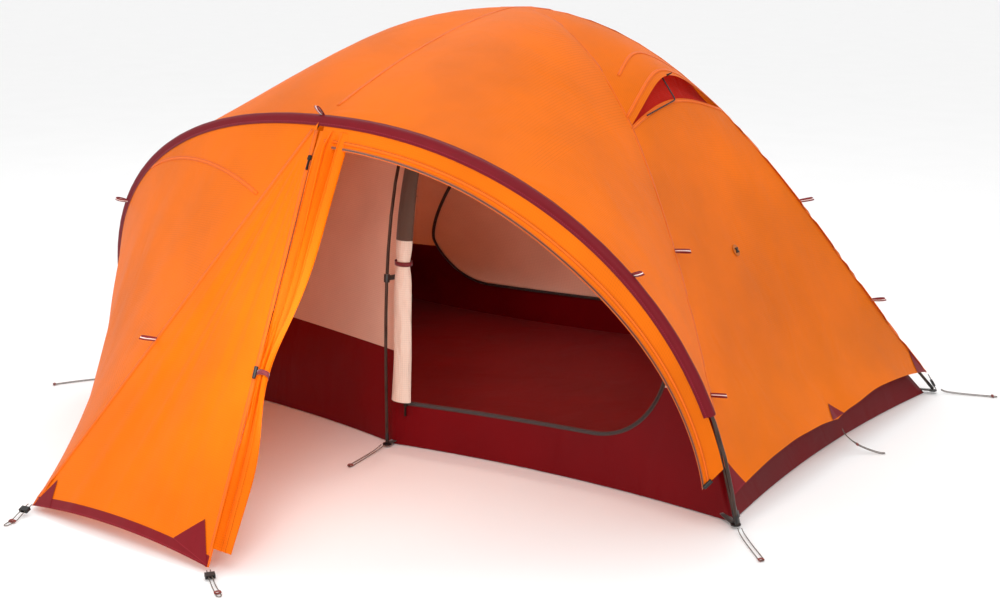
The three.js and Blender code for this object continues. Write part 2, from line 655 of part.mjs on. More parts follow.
// ---- Hardware of the fly ----

const ZIP_PARK = 0.1; // the open door's slider rests near the top of the zip
slider("vestibule_zip_slider", zipLine(ZIP_PARK), zipLine(0).sub(zipLine(1)), normalAt(vestibuleFront, 1, 0.5));

// The vent's prop is an L of wire: its long arm turns in the lip's binding, its short arm lifts the hood.
const PROP_START = 0.14;
const PROP_OFF = vector(11, 0, -1);
const propHeel = rightEnd(PROP_START, 1).add(PROP_OFF);
const propElbow = rightEnd(0.5, 1).add(PROP_OFF);
const propTip = hoodSurface(0.5, 0.03).add(vector(-3, 0, -15));
const propLine = new THREE.CurvePath();
const BEND = 8;
const bendIn = propElbow.clone().add(propHeel.clone().sub(propElbow).setLength(BEND));
const bendOut = propElbow.clone().add(propTip.clone().sub(propElbow).setLength(BEND));
propLine.add(new THREE.LineCurve3(propHeel, bendIn));
propLine.add(new THREE.QuadraticBezierCurve3(bendIn, propElbow, bendOut));
propLine.add(new THREE.LineCurve3(bendOut, propTip));
add("vent_prop", sweep(circle(VENT_PROP_WIRE / 2, 6), propLine, 30), BLACK);

// A ladder lock: a flat ring round a strap or a pair of strands, which slides along them.
function addLadderLock(name, [width, thick], at, along, face) {
  const outer = rectangle(THREE.Shape, width + 2 * (FIT + ADJUSTER_WALL), thick + 2 * (FIT + ADJUSTER_BAR));
  outer.holes.push(rectangle(THREE.Path, width + 2 * FIT, thick + 2 * FIT));
  const lock = extrude(outer, ADJUSTER_LENGTH).translate(0, 0, -ADJUSTER_LENGTH / 2);
  const axis = along.clone().normalize();
  const normal = face.clone().normalize();
  const basis = new THREE.Matrix4().makeBasis(normal.clone().cross(axis), normal, axis);
  add(name, lock.applyMatrix4(basis).translate(at.x, at.y, at.z), BLACK);
}

// A webbing strap with a ladder-lock adjuster pulls each right-hand corner of the fly to its pole foot.
const STRAP_TOP = 60;
const STRAP_LOW = 14;
const STRAP_OFF = 9; // clear of the pole foot beside it
const ADJUSTER_AT = 0.42;
const STRAPS = {
  front_right: [FLY.frontRight, vector(1, 0.3, 0)],
  back_right: [FLY.backRight, vector(0.8, 0.6, 0)],
};
for (const [name, [flyLine, away]] of Object.entries(STRAPS)) {
  const top = atHeight(flyLine, STRAP_TOP).add(away.clone().setLength(2));
  const low = atHeight(POLE_LINES[name], STRAP_LOW).add(away.clone().setLength(STRAP_OFF));
  const along = top.clone().sub(low);
  const across = along.clone().cross(away).normalize();
  const face = across.clone().cross(along).normalize();
  const basis = new THREE.Matrix4().makeBasis(across, along.clone().normalize(), face.clone());
  const strap = new THREE.BoxGeometry(STRAP_WIDTH, along.length(), STRAP_THICK, 1, 3, 1).applyMatrix4(basis);
  const middle = mix(low, top, 0.5);
  add("corner_strap_" + name, strap.translate(middle.x, middle.y, middle.z), WEBBING);
  const slot = [STRAP_WIDTH, STRAP_THICK];
  addLadderLock("corner_adjuster_" + name, slot, mix(low, top, ADJUSTER_AT), along, face);
}

// ---- Guy cords ----

// Each cord is a loop: out along one strand, round its far end and back along the other.
const CORD_LINES = {
  front_middle: [
    [-5, -745, 11], [-4, -765, 6], [1, -800, 3.5], [7, -845, 2.5], [13, -888, 2],
    [18, -909, 2], [25, -914, 2], [27, -905, 2], [23, -884, 2], [17, -845, 2.5],
    [10, -800, 3.5], [6, -765, 6], [5, -745, 11],
  ],
  front_right: [
    [1085, -693, 11], [1095, -704, 6], [1122, -733, 3.5], [1155, -766, 2.5], [1188, -799, 2],
    [1203, -813, 2], [1210, -812, 2], [1210, -804, 2], [1196, -789, 2], [1163, -757, 2.5],
    [1130, -724, 3.5], [1103, -697, 6], [1092, -686, 11],
  ],
  back_right: [
    [1086, 684, 11], [1100, 689, 6], [1130, 700, 3.5], [1170, 714, 2.5], [1220, 733, 2],
    [1238, 741, 2], [1246, 738, 2], [1242, 730, 2], [1224, 723, 2], [1174, 704, 2.5],
    [1134, 690, 3.5], [1104, 679, 6], [1090, 674, 11],
  ],
  right_middle: [
    [1052, -5, 66], [1060, -2, 52], [1078, 7, 34], [1100, 18, 20], [1128, 33, 8],
    [1149, 45, 2], [1158, 49, 2], [1160, 42, 2], [1152, 36, 2], [1131, 25, 8],
    [1103, 10, 20], [1082, 1, 34], [1064, -8, 52], [1056, -11, 66],
  ],
  vestibule_right: [
    [224, -1622, 12], [232, -1628, 10.5], [256, -1644, 6], [282, -1661, 2.5], [312, -1680, 2],
    [325, -1688, 2], [332, -1685, 2], [329, -1678, 2], [316, -1670, 2], [286, -1653, 2.5],
    [260, -1637, 6], [236, -1621, 10.5], [228, -1615, 12],
  ],
  vestibule_left: [
    [-416, -1624, 22], [-414, -1634, 19], [-408, -1661, 11], [-401, -1686, 3.5], [-396, -1707, 2],
    [-391, -1716, 2], [-384, -1715, 2], [-383, -1706, 2], [-387, -1683, 3.5],
    [-396, -1657, 11], [-403, -1631, 19], [-405, -1621, 22],
  ],
  front_left: [
    [-1083, -690, 11], [-1093, -702, 6], [-1122, -738, 3.5], [-1160, -785, 2.5], [-1195, -840, 2],
    [-1222, -890, 2], [-1231, -910, 2], [-1238, -912, 2], [-1239, -904, 2], [-1230, -885, 2],
    [-1204, -835, 2], [-1168, -780, 2.5], [-1130, -732, 3.5], [-1101, -697, 6], [-1091, -685, 11],
  ],
};
const CORD_STEPS = 20;
for (const [name, points] of Object.entries(CORD_LINES)) {
  const line = new THREE.CatmullRomCurve3(points.map((p) => vector(...p)));
  add("guy_cord_" + name, sweep(circle(CORD_DIAMETER / 2, 8), line, CORD_STEPS), CORD);
}

// A small ladder lock on each of the vestibule's two cords takes both strands.
const STRANDS_APART = 16; // room for both strands, side by side
const STRANDS_DEEP = 4;
for (const name of ["vestibule_left", "vestibule_right"]) {
  const points = CORD_LINES[name].map((p) => vector(...p));
  const count = points.length;
  const near = mix(points[1], points[count - 2], 0.5);
  const far = mix(points[2], points[count - 3], 0.5);
  const along = far.clone().sub(near);
  const across = points[1].clone().sub(points[count - 2]);
  const slot = [STRANDS_APART, STRANDS_DEEP];
  addLadderLock("cord_adjuster_" + name, slot, mix(near, far, 0.4), along, across.cross(along));
}

export default tent;
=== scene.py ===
import math

import bmesh
import bpy
from mathutils import Matrix, Vector, noise
from mathutils.bvhtree import BVHTree


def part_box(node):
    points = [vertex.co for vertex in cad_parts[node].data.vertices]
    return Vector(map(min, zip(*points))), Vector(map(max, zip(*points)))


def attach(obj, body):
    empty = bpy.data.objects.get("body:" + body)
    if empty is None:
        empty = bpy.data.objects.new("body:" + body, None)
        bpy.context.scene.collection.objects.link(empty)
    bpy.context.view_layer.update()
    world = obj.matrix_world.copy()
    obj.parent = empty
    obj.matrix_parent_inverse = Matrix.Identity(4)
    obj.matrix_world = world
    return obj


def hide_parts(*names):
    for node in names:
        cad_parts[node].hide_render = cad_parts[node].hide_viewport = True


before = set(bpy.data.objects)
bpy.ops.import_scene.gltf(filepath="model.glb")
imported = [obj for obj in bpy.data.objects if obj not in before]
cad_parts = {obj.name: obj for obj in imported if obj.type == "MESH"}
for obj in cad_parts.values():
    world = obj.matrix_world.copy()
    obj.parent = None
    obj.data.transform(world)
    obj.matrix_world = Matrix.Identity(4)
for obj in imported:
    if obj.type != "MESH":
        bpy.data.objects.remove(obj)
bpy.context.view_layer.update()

# ---- Camera ----
# The eye of someone standing a few steps off the front right corner, looking slightly down.

eye = bpy.data.objects.new("eye", bpy.data.cameras.new("eye"))
bpy.context.scene.collection.objects.link(eye)
bpy.context.scene.camera = eye
eye.data.sensor_width = 36
eye.data.lens = 53.82
AZIMUTH, TILT = math.radians(36.04), math.radians(14.37)
eye.location = (2.607, -3.766, 1.442)
eye.rotation_euler = (math.pi / 2 - TILT, 0, AZIMUTH)
bpy.context.scene.view_settings.view_transform = "Standard"

# ---- Guy cords ----
# Braided nylon cord 2.4 mm thick, one loop at each stake point: out along one strand, round the
# far end, where the stake would stand, and back along the other. A knot keeps each loop closed.

CORD = 0.0024
CORD_LINES = {
    "front_middle": (0.3475, [
        (-5, -745, 11), (-4, -765, 6), (1, -800, 3.5), (7, -845, 2.5), (13, -888, 2),
        (18, -909, 2), (25, -914, 2), (27, -905, 2), (23, -884, 2), (17, -845, 2.5),
        (10, -800, 3.5), (6, -765, 6), (5, -745, 11)]),
    "front_right": (0.3531, [
        (1085, -693, 11), (1095, -704, 6), (1122, -733, 3.5), (1155, -766, 2.5), (1188, -799, 2),
        (1203, -813, 2), (1210, -812, 2), (1210, -804, 2), (1196, -789, 2), (1163, -757, 2.5),
        (1130, -724, 3.5), (1103, -697, 6), (1092, -686, 11)]),
    "back_right": (0.3448, [
        (1086, 684, 11), (1100, 689, 6), (1130, 700, 3.5), (1170, 714, 2.5), (1220, 733, 2),
        (1238, 741, 2), (1246, 738, 2), (1242, 730, 2), (1224, 723, 2), (1174, 704, 2.5),
        (1134, 690, 3.5), (1104, 679, 6), (1090, 674, 11)]),
    "right_middle": (0.2875, [
        (1052, -5, 66), (1060, -2, 52), (1078, 7, 34), (1100, 18, 20), (1128, 33, 8),
        (1149, 45, 2), (1158, 49, 2), (1160, 42, 2), (1152, 36, 2), (1131, 25, 8),
        (1103, 10, 20), (1082, 1, 34), (1064, -8, 52), (1056, -11, 66)]),
    "vestibule_right": (0.2572, [
        (224, -1622, 12), (232, -1628, 10.5), (256, -1644, 6), (282, -1661, 2.5), (312, -1680, 2),
        (325, -1688, 2), (332, -1685, 2), (329, -1678, 2), (316, -1670, 2), (286, -1653, 2.5),
        (260, -1637, 6), (236, -1621, 10.5), (228, -1615, 12)]),
    "vestibule_left": (0.2060, [
        (-416, -1624, 22), (-414, -1634, 19), (-408, -1661, 11), (-401, -1686, 3.5),
        (-396, -1707, 2), (-391, -1716, 2), (-384, -1715, 2), (-383, -1706, 2), (-387, -1683, 3.5),
        (-396, -1657, 11), (-403, -1631, 19), (-405, -1621, 22)]),
    "front_left": (0.5497, [
        (-1083, -690, 11), (-1093, -702, 6), (-1122, -738, 3.5), (-1160, -785, 2.5),
        (-1195, -840, 2), (-1222, -890, 2), (-1231, -910, 2), (-1238, -912, 2),
        (-1239, -904, 2), (-1230, -885, 2),
        (-1204, -835, 2), (-1168, -780, 2.5), (-1130, -732, 3.5), (-1101, -697, 6),
        (-1091, -685, 11)]),
}


def smooth_line(points, steps=8):
    """The points of one smooth line through all of these."""
    ends = [points[0] * 2 - points[1], *points, points[-1] * 2 - points[-2]]
    line = []
    for a, b, c, d in zip(ends, ends[1:], ends[2:], ends[3:]):
        for i in range(steps):
            t = i / steps
            line.append(0.5 * (2 * b + (c - a) * t + (2 * a - 5 * b + 4 * c - d) * t * t
                               + (3 * b - a - 3 * c + d) * t ** 3))
    return line + [points[-1]]


def wire(name, line, radius, material, sides=2):
    """A round bar, cord or thread along a line."""
    curve = bpy.data.curves.new(name, "CURVE")
    curve.dimensions = "3D"
    curve.bevel_depth = radius
    curve.bevel_resolution = sides
    curve.use_fill_caps = True
    spline = curve.splines.new("POLY")
    spline.points.add(len(line) - 1)
    for point, place in zip(spline.points, line):
        point.co = (*place, 1)
    piece = bpy.data.objects.new(name, curve)
    bpy.context.scene.collection.objects.link(piece)
    curve.materials.append(material)
    return piece


def dye(base, gain=1.0):
    """A colour given in sRGB shares, as the shaders take it."""
    return (*(gain * c ** 2.2 for c in base), 1)


def start_material(name, base, rough, metal=0.0, sheen=0.0):
    """A material's shader, its node maker and its linker. `base` is in sRGB shares."""
    material = bpy.data.materials.new(name)
    material.use_nodes = True
    nodes, links = material.node_tree.nodes, material.node_tree.links
    shader = nodes["Principled BSDF"]
    shader.inputs["Base Color"].default_value = dye(base)
    shader.inputs["Roughness"].default_value = rough
    shader.inputs["Metallic"].default_value = metal
    shader.inputs["Sheen Weight"].default_value = sheen
    shader.inputs["Sheen Roughness"].default_value = 0.4

    def node(kind, values=None, **settings):
        made = nodes.new("ShaderNode" + kind)
        for key, value in settings.items():
            if key in made.inputs:
                made.inputs[key].default_value = value
            else:
                setattr(made, key, value)
        for key, value in (values or {}).items():
            made.inputs[key].default_value = value
        return made

    def link(start, out, end, into):
        links.new(start.outputs[out], end.inputs[into])

    return material, shader, node, link


def braided(name, base, fleck, scale=900):
    """Braided cord: slanting strands with flecks of a second colour."""
    material, shader, node, link = start_material(name, base, 0.75, sheen=0.2)
    place = node("TexCoord")
    strands = node("TexWave", wave_type="BANDS", bands_direction="DIAGONAL", Scale=scale / 3,
                   Distortion=1.5)
    flecks = node("TexVoronoi", Scale=scale)
    blend = node("Mix", {
        "A": dye(base), "B": dye(fleck)}, data_type="RGBA")
    bump = node("Bump", Strength=0.6, Distance=0.0004)
    link(place, "Object", strands, "Vector")
    link(place, "Object", flecks, "Vector")
    link(flecks, "Distance", blend, "Factor")
    link(blend, "Result", shader, "Base Color")
    link(strands, "Fac", bump, "Height")
    link(bump, "Normal", shader, "Normal")
    return material


CORD_BRAID = braided("cord_braid", (0.20, 0.17, 0.16), (0.46, 0.40, 0.36))
KNOT_BRAID = braided("knot_braid", (0.42, 0.13, 0.12), (0.60, 0.30, 0.26))
KNOT_AT = {"front_middle": 0.40, "front_right": 0.41, "back_right": 0.38, "right_middle": 0.20,
           "vestibule_right": 0.33, "vestibule_left": 0.30, "front_left": 0.42}
KNOT_TURNS, KNOT_STEPS, KNOT_RADIUS = 3, 14, 0.0048
for name, (length, points) in CORD_LINES.items():
    line = smooth_line([Vector(p) / 1000 for p in points])
    cord = wire("cord_" + name, line, CORD / 2, CORD_BRAID)
    count = len(line)
    here = round(KNOT_AT[name] * (count - 1))
    there = min(range(count // 2 + 2, count), key=lambda i: (line[i] - line[here]).length)
    middle = (line[here] + line[there]) / 2
    along = (line[here + 1] - line[here - 1]).normalized()
    side = along.cross(Vector((0, 0, 1))).normalized()
    over = side.cross(along)
    wide = (line[here] - line[there]).length / 2 + KNOT_RADIUS / 2
    coil = []
    for i in range(KNOT_TURNS * KNOT_STEPS + 1):
        turn = 2 * math.pi * i / KNOT_STEPS
        shift = (i / KNOT_STEPS - KNOT_TURNS / 2) * CORD
        coil.append(middle + along * shift + side * wide * math.cos(turn)
                    + over * 0.0026 * math.sin(turn))
    lowest = min(p.z for p in coil) - CORD / 2
    lift = Vector((0, 0, max(0, 0.0004 - lowest)))
    knot = wire("knot_" + name, [p + lift for p in coil], CORD * 0.42, KNOT_BRAID)
    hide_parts("guy_cord_" + name)
    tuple(line[0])
    for piece in (cord, knot):
        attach(piece, "tent")

# ---- Pole lines ----
# Two shock-corded alloy poles cross at the peak, a centre pole passes under them from front to
# back, and a hoop pole leans forward over the vestibule. All the cloth hangs from these lines.

HALF_LENGTH, HALF_WIDTH = 1.075, 0.675
PEAK_HEIGHT, PEAK_FORWARD = 1.177, 0.100
CENTRE_HEIGHT, CENTRE_FOOT = 1.157, 0.725
HOOP_HEIGHT, HOOP_LEAN = 0.952, 0.282
HOOP_SIDE, HOOP_TOP = 2.22, 0.411
CENTRE_SHAPE = {-1: (2.8, 0.30), 1: (1.9, 0.27)}


class Line:
    """A rising line, reached by its share of length or by its height."""

    def __init__(self, place, steps=240):
        self.points = [Vector(place(i / steps)) for i in range(steps + 1)]
        self.lengths = [0.0]
        for a, b in zip(self.points, self.points[1:]):
            self.lengths.append(self.lengths[-1] + (b - a).length)

    def at(self, share):
        target = min(max(share, 0), 1) * self.lengths[-1]
        low, high = 0, len(self.lengths) - 1
        while high - low > 1:
            middle = (low + high) // 2
            low, high = (middle, high) if self.lengths[middle] <= target else (low, middle)
        span = self.lengths[high] - self.lengths[low]
        part = (target - self.lengths[low]) / span if span else 0
        return self.points[low].lerp(self.points[high], part)

    def share_at(self, height):
        low, high = 0.0, 1.0
        for _ in range(20):
            middle = (low + high) / 2
            low, high = (middle, high) if self.at(middle).z < height else (low, middle)
        return low


def leg(side_x, side_y, grow=0.0):
    """One leg of a diagonal pole, from its corner up to the peak, moved out by `grow`."""
    def place(length, width, height):
        return Vector((side_x * (HALF_LENGTH + grow) * length,
                       side_y * (HALF_WIDTH + grow) * width - PEAK_FORWARD * height,
                       (PEAK_HEIGHT + grow) * height))
    a, b, c, d = place(1, 1, 0), place(0.731, 0.579, 0.396), place(0.5, 0.3, 1), place(0, 0, 1)
    return Line(lambda t: a * (1 - t) ** 3 + 3 * b * t * (1 - t) ** 2
                + 3 * c * t * t * (1 - t) + d * t ** 3)


def centre_line(side_y, grow=0.0, lift=0.0):
    """The centre pole from a foot up to where the diagonals cross it."""
    side, top = CENTRE_SHAPE[side_y]
    reach = CENTRE_FOOT + grow + side_y * PEAK_FORWARD

    def place(t):
        out = max(math.cos(math.pi / 2 * t), 0) ** (2 / side)
        rise = math.sin(math.pi / 2 * t) ** (2 * top)
        return 0, side_y * reach * out - PEAK_FORWARD, (CENTRE_HEIGHT + lift) * rise
    return Line(place)


def hoop_half(side_x):
    """Half of the hoop pole, from its foot up to the middle."""
    def place(t):
        angle = math.pi / 2 * t
        reach = math.cos(angle) ** (2 / HOOP_SIDE)
        height = math.sin(angle) ** (2 * HOOP_TOP)
        return side_x * HALF_LENGTH * reach, -HALF_WIDTH - HOOP_LEAN * height, HOOP_HEIGHT * height
    return Line(place)


HOOP = {1: hoop_half(1), -1: hoop_half(-1)}

# ---- Poles ----
# Aluminium tube 9 mm thick, dark anodised and dulled by use, in sections that plug into each other
# with a bare ferrule at each joint. A black moulded tip closes each end and stands in its grommet.

POLE_RADIUS = 0.0045


def anodised(name, base, rough):
    """Dark anodised tube: fine drawing lines and a few rubbed patches."""
    material, shader, node, link = start_material(name, base, rough, metal=0.85)
    place = node("TexCoord")
    rub = node("TexNoise", Scale=22, Detail=5)
    grain = node("TexNoise", Scale=900, Detail=2)
    shade = node("ValToRGB")
    shade.color_ramp.elements[0].position = 0.35
    shade.color_ramp.elements[0].color = dye(base, 0.8)
    shade.color_ramp.elements[1].position = 0.75
    shade.color_ramp.elements[1].color = dye(base, 1.7)
    gloss = node("MapRange", {"To Min": rough - 0.1, "To Max": rough + 0.15})
    bump = node("Bump", Strength=0.15, Distance=0.0002)
    link(place, "Object", rub, "Vector")
    link(place, "Object", grain, "Vector")
    link(rub, "Fac", shade, "Fac")
    link(shade, "Color", shader, "Base Color")
    link(rub, "Fac", gloss, "Value")
    link(gloss, "Result", shader, "Roughness")
    link(grain, "Fac", bump, "Height")
    link(bump, "Normal", shader, "Normal")
    return material


def moulded(name, base, rough=0.45):
    """Moulded nylon: a faint pebbled skin."""
    material, shader, node, link = start_material(name, base, rough)
    place = node("TexCoord")
    pebble = node("TexNoise", Scale=1400, Detail=3)
    cloud = node("TexNoise", Scale=60, Detail=3)
    gloss = node("MapRange", {"To Min": rough - 0.08, "To Max": rough + 0.12})
    bump = node("Bump", Strength=0.25, Distance=0.0002)
    link(place, "Object", pebble, "Vector")
    link(place, "Object", cloud, "Vector")
    link(cloud, "Fac", gloss, "Value")
    link(gloss, "Result", shader, "Roughness")
    link(pebble, "Fac", bump, "Height")
    link(bump, "Normal", shader, "Normal")
    return material


def dress(name, material):
    """A solid that is right as it is gets its real finish."""
    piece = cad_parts[name]
    piece.data.materials.clear()
    piece.data.materials.append(material)


TUBE = anodised("anodised_tube", (0.27, 0.23, 0.21), 0.36)
FERRULE = anodised("bare_ferrule", (0.55, 0.53, 0.51), 0.30)
NYLON = moulded("moulded_nylon", (0.10, 0.095, 0.095))
for name in ("diagonal_pole_upper", "diagonal_pole_lower", "centre_pole", "vestibule_hoop_pole"):
    dress(name, TUBE)


def collar(name, place, axis, radius, length, material, taper=1.0, sides=20):
    """A short round collar or tip, rounded at its rims, with its middle at `place`."""
    bm = bmesh.new()
    bmesh.ops.create_cone(bm, cap_ends=True, segments=sides, radius1=radius,
                          radius2=radius * taper, depth=length)
    rims = [e for e in bm.edges if abs(e.verts[0].co.z - e.verts[1].co.z) < 1e-6]
    bmesh.ops.bevel(bm, geom=rims, offset=min(radius, length) * 0.18, offset_type="OFFSET",
                    segments=2, profile=0.5, affect="EDGES", material=-1)
    turn = Vector((0, 0, 1)).rotation_difference(axis).to_matrix().to_4x4()
    bmesh.ops.transform(bm, matrix=Matrix.Translation(place) @ turn, verts=bm.verts)
    return finish_mesh(name, bm, material)


def finish_mesh(name, bm, material, smooth=True):
    """The mesh becomes a piece of the tent's body, smooth-shaded."""
    mesh = bpy.data.meshes.new(name)
    bm.to_mesh(mesh)
    bm.free()
    for face in mesh.polygons:
        face.use_smooth = smooth
    piece = bpy.data.objects.new(name, mesh)
    bpy.context.scene.collection.objects.link(piece)
    for each in material if isinstance(material, (list, tuple)) else [material]:
        mesh.materials.append(each)
    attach(piece, "tent")
    return piece


CENTRE = {-1: centre_line(-1), 1: centre_line(1)}
LEGS = {"front_right": leg(1, -1), "back_right": leg(1, 1),
        "back_left": leg(-1, 1), "front_left": leg(-1, -1)}
FERRULE_LENGTH, FERRULE_SHARES = 0.022, (0.32, 0.70)
POLE_RUNS = {**LEGS, "centre_front": CENTRE[-1], "centre_back": CENTRE[1]}
for name, line in POLE_RUNS.items():
    dropped = Vector((0, 0, -0.010)) if name in ("back_right", "front_left") else Vector()
    for number, share in enumerate(FERRULE_SHARES):
        sink = dropped * (line.at(share).z / PEAK_HEIGHT)
        axis = line.at(share + 0.01) - line.at(share - 0.01)
        collar(f"ferrule_{name}_{number}", line.at(share) + sink, axis, POLE_RADIUS + 0.0005,
               FERRULE_LENGTH, FERRULE)

TIP_LENGTH, FOOT = 0.024, 0.014
for name, line in {**POLE_RUNS, "hoop_right": HOOP[1], "hoop_left": HOOP[-1]}.items():
    low = line.share_at(FOOT)
    axis = line.at(low + 0.02) - line.at(low)
    collar("pole_tip_" + name, line.at(low) + axis.normalized() * (TIP_LENGTH / 2 + 0.003), axis,
           POLE_RADIUS + 0.0003, TIP_LENGTH, NYLON)

# ---- Grommet plates ----
# Round moulded plates with a hole for the pole tip, sewn to the floor's corners and to the middle
# of each long side on short tabs of dark webbing.

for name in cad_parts:
    if name.startswith(("grommet_", "pole_clip_", "peak_hook",
                        "corner_adjuster_", "cord_adjuster_")):
        dress(name, NYLON)


def woven(name, base, pitch=0.0022, stripe=None, stripe_half=0.0):
    """Webbing: a coarse weave along its own map, and a paler stripe down its middle if given."""
    material, shader, node, link = start_material(name, base, 0.7, sheen=0.35)
    place = node("UVMap", uv_map="cloth")
    along = node("TexWave", bands_direction="X", Scale=0.5 / pitch / 3.14)
    across = node("TexWave", bands_direction="Y", Scale=0.5 / pitch / 3.14)
    height = node("Math", operation="MAXIMUM")
    fuzz = node("TexNoise", Scale=240, Detail=4)
    shade = node("Mix", {"Factor": 0.5, "A": dye(base)}, data_type="RGBA", blend_type="MULTIPLY")
    bump = node("Bump", Strength=0.6, Distance=0.0005)
    for texture in (along, across, fuzz):
        link(place, "UV", texture, "Vector")
    link(along, "Fac", height, 0)
    link(across, "Fac", height, 1)
    link(fuzz, "Color", shade, "B")
    link(height, "Value", bump, "Height")
    link(bump, "Normal", shader, "Normal")
    colour = shade
    if stripe:
        split = node("SeparateXYZ")
        off = node("Math", operation="ABSOLUTE")
        inside = node("Math", {1: stripe_half}, operation="LESS_THAN")
        paint = node("Mix", {"B": dye(stripe)}, data_type="RGBA")
        link(place, "UV", split, "Vector")
        link(split, "Y", off, 0)
        link(off, "Value", inside, 0)
        link(inside, "Value", paint, "Factor")
        link(colour, "Result", paint, "A")
        colour = paint
    link(colour, "Result", shader, "Base Color")
    return material


def band(name, line, wide, half, thick, material, closed=False):
    """A flat band along `line`: half its width along wide(t), mapped in metres along and across."""
    bm = bmesh.new()
    steps = len(line) - 1
    bmesh.ops.create_grid(bm, x_segments=steps, y_segments=2, size=0.5)
    layer = bm.loops.layers.uv.new("cloth")
    lengths = [0.0]
    for a, b in zip(line, line[1:]):
        lengths.append(lengths[-1] + (b - a).length)
    for face in bm.faces:
        for loop in face.loops:
            step = round((loop.vert.co.x + 0.5) * steps)
            loop[layer].uv = (lengths[step], loop.vert.co.y * 2 * half(step / steps))
    for v in bm.verts:
        step = round((v.co.x + 0.5) * steps)
        v.co = line[step] + wide(step / steps).normalized() * (v.co.y * 2 * half(step / steps))
    bm.normal_update()
    if closed:
        bmesh.ops.remove_doubles(bm, verts=bm.verts, dist=0.0002)
    if thick:
        bmesh.ops.solidify(bm, geom=bm.faces[:], thickness=thick)
        bmesh.ops.recalc_face_normals(bm, faces=bm.faces)
    return finish_mesh(name, bm, material)


DARK_WEBBING = woven("dark_webbing", (0.24, 0.22, 0.21))
TAB_HALF, TAB_REACH = 0.010, 0.052
PLATES = {"front_right": (-1, 0.62), "back_right": (-1, -0.62), "back_left": (1, -0.62),
          "front_left": (1, 0.62), "front_middle": (0, 1), "back_middle": (0, -1)}
for name, (x, y) in PLATES.items():
    low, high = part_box("grommet_" + name)
    centre = (low + high) / 2
    inwards = Vector((x, y, 0)).normalized()
    top = high.z + 0.0006
    line = [centre.xy.to_3d() + inwards * (0.008 + TAB_REACH * i / 6)
            + Vector((0, 0, top + 0.006 * (i / 6) ** 2)) for i in range(7)]
    band("tab_" + name, line, lambda t, d=inwards: Vector((-d.y, d.x, 0)), lambda t: TAB_HALF,
         0.0014, DARK_WEBBING)

# ---- Inner tent ----
# One skin sewn from two cloths: a bathtub of coated maroon nylon, turned up all round the floor,
# and above it a canopy of thin peach ripstop that glows with the light behind it. It hangs by
# clips 45 mm inside the poles. A D-shaped doorway is cut in each long side.

WAVE_SPAN = 0.32  # a wave texture of scale 1 repeats about this far apart
THREAD, COIL_PITCH = 0.0009, 0.0013


def cloth(name, base, glow, rough=0.5, sheen=0.25, rip=0.006, crease=0.35, crease_size=7.0):
    """Thin nylon: a ripstop grid over a fine weave, soft creases, and a share `glow` of the light
    let through."""
    material, shader, node, link = start_material(name, base, rough, sheen=sheen)
    shader.inputs["Coat Weight"].default_value = 0
    shader.inputs["Specular IOR Level"].default_value = 0.12
    shader.inputs["Coat Roughness"].default_value = 0.35
    paint = tuple(c ** 2.2 for c in base)
    space = node("TexCoord")
    place = node("UVMap", uv_map="cloth")
    wide = node("Mapping", {"Scale": (100, 100, 100)})
    squares = node("TexBrick", {
        "Scale": 1.0, "Brick Width": rip * 100, "Row Height": rip * 100, "Mortar Size": rip * 9,
        "Mortar Smooth": 0.4, "Color1": (1, 1, 1, 1), "Color2": (1, 1, 1, 1),
        "Mortar": (0.86, 0.86, 0.86, 1)}, offset=0.0)
    warp = node("TexWave", bands_direction="X", Scale=WAVE_SPAN / THREAD)
    weft = node("TexWave", bands_direction="Y", Scale=WAVE_SPAN / THREAD)
    threads = node("Math", operation="MAXIMUM")
    cloud = node("TexNoise", Scale=3.2, Detail=5)
    tone = node("ValToRGB")
    tone.color_ramp.elements[0].position = 0.3
    tone.color_ramp.elements[0].color = (*(0.86 * c for c in paint), 1)
    tone.color_ramp.elements[1].position = 0.7
    tone.color_ramp.elements[1].color = (*(min(1.0, 1.08 * c) for c in paint), 1)
    colour = node("Mix", {"Factor": 1.0}, data_type="RGBA", blend_type="MULTIPLY")
    stretch = node("Mapping", {"Scale": (1.0, 1.0, 0.35)})
    folds = node("TexNoise", Scale=crease_size, Detail=3, Distortion=0.8)
    crease_bump = node("Bump", Strength=crease, Distance=0.02)
    rip_bump = node("Bump", Strength=0.25, Distance=0.0004)
    weave_bump = node("Bump", Strength=0.25, Distance=0.0002)
    gloss = node("MapRange", {"To Min": rough - 0.08, "To Max": rough + 0.1})
    link(place, "UV", wide, "Vector")
    link(wide, "Vector", squares, "Vector")
    link(place, "UV", warp, "Vector")
    link(place, "UV", weft, "Vector")
    link(warp, "Fac", threads, 0)
    link(weft, "Fac", threads, 1)
    link(space, "Object", cloud, "Vector")
    link(cloud, "Fac", tone, "Fac")
    link(cloud, "Fac", gloss, "Value")
    link(gloss, "Result", shader, "Roughness")
    link(tone, "Color", colour, "A")
    link(squares, "Color", colour, "B")
    link(colour, "Result", shader, "Base Color")
    link(space, "Object", stretch, "Vector")
    link(stretch, "Vector", folds, "Vector")
    link(folds, "Fac", crease_bump, "Height")
    link(squares, "Fac", rip_bump, "Height")
    link(threads, "Value", weave_bump, "Height")
    link(crease_bump, "Normal", rip_bump, "Normal")
    link(rip_bump, "Normal", weave_bump, "Normal")
    link(weave_bump, "Normal", shader, "Normal")
    if glow:
        through = node("BsdfTranslucent")
        both = node("MixShader")
        both.inputs["Fac"].default_value = glow
        output = next(n for n in material.node_tree.nodes if n.type == "OUTPUT_MATERIAL")
        link(colour, "Result", through, "Color")
        link(weave_bump, "Normal", through, "Normal")
        link(shader, "BSDF", both, 1)
        link(through, "BSDF", both, 2)
        link(both, "Shader", output, "Surface")
    return material


def arc(v):
    return 4 * v * (1 - v)


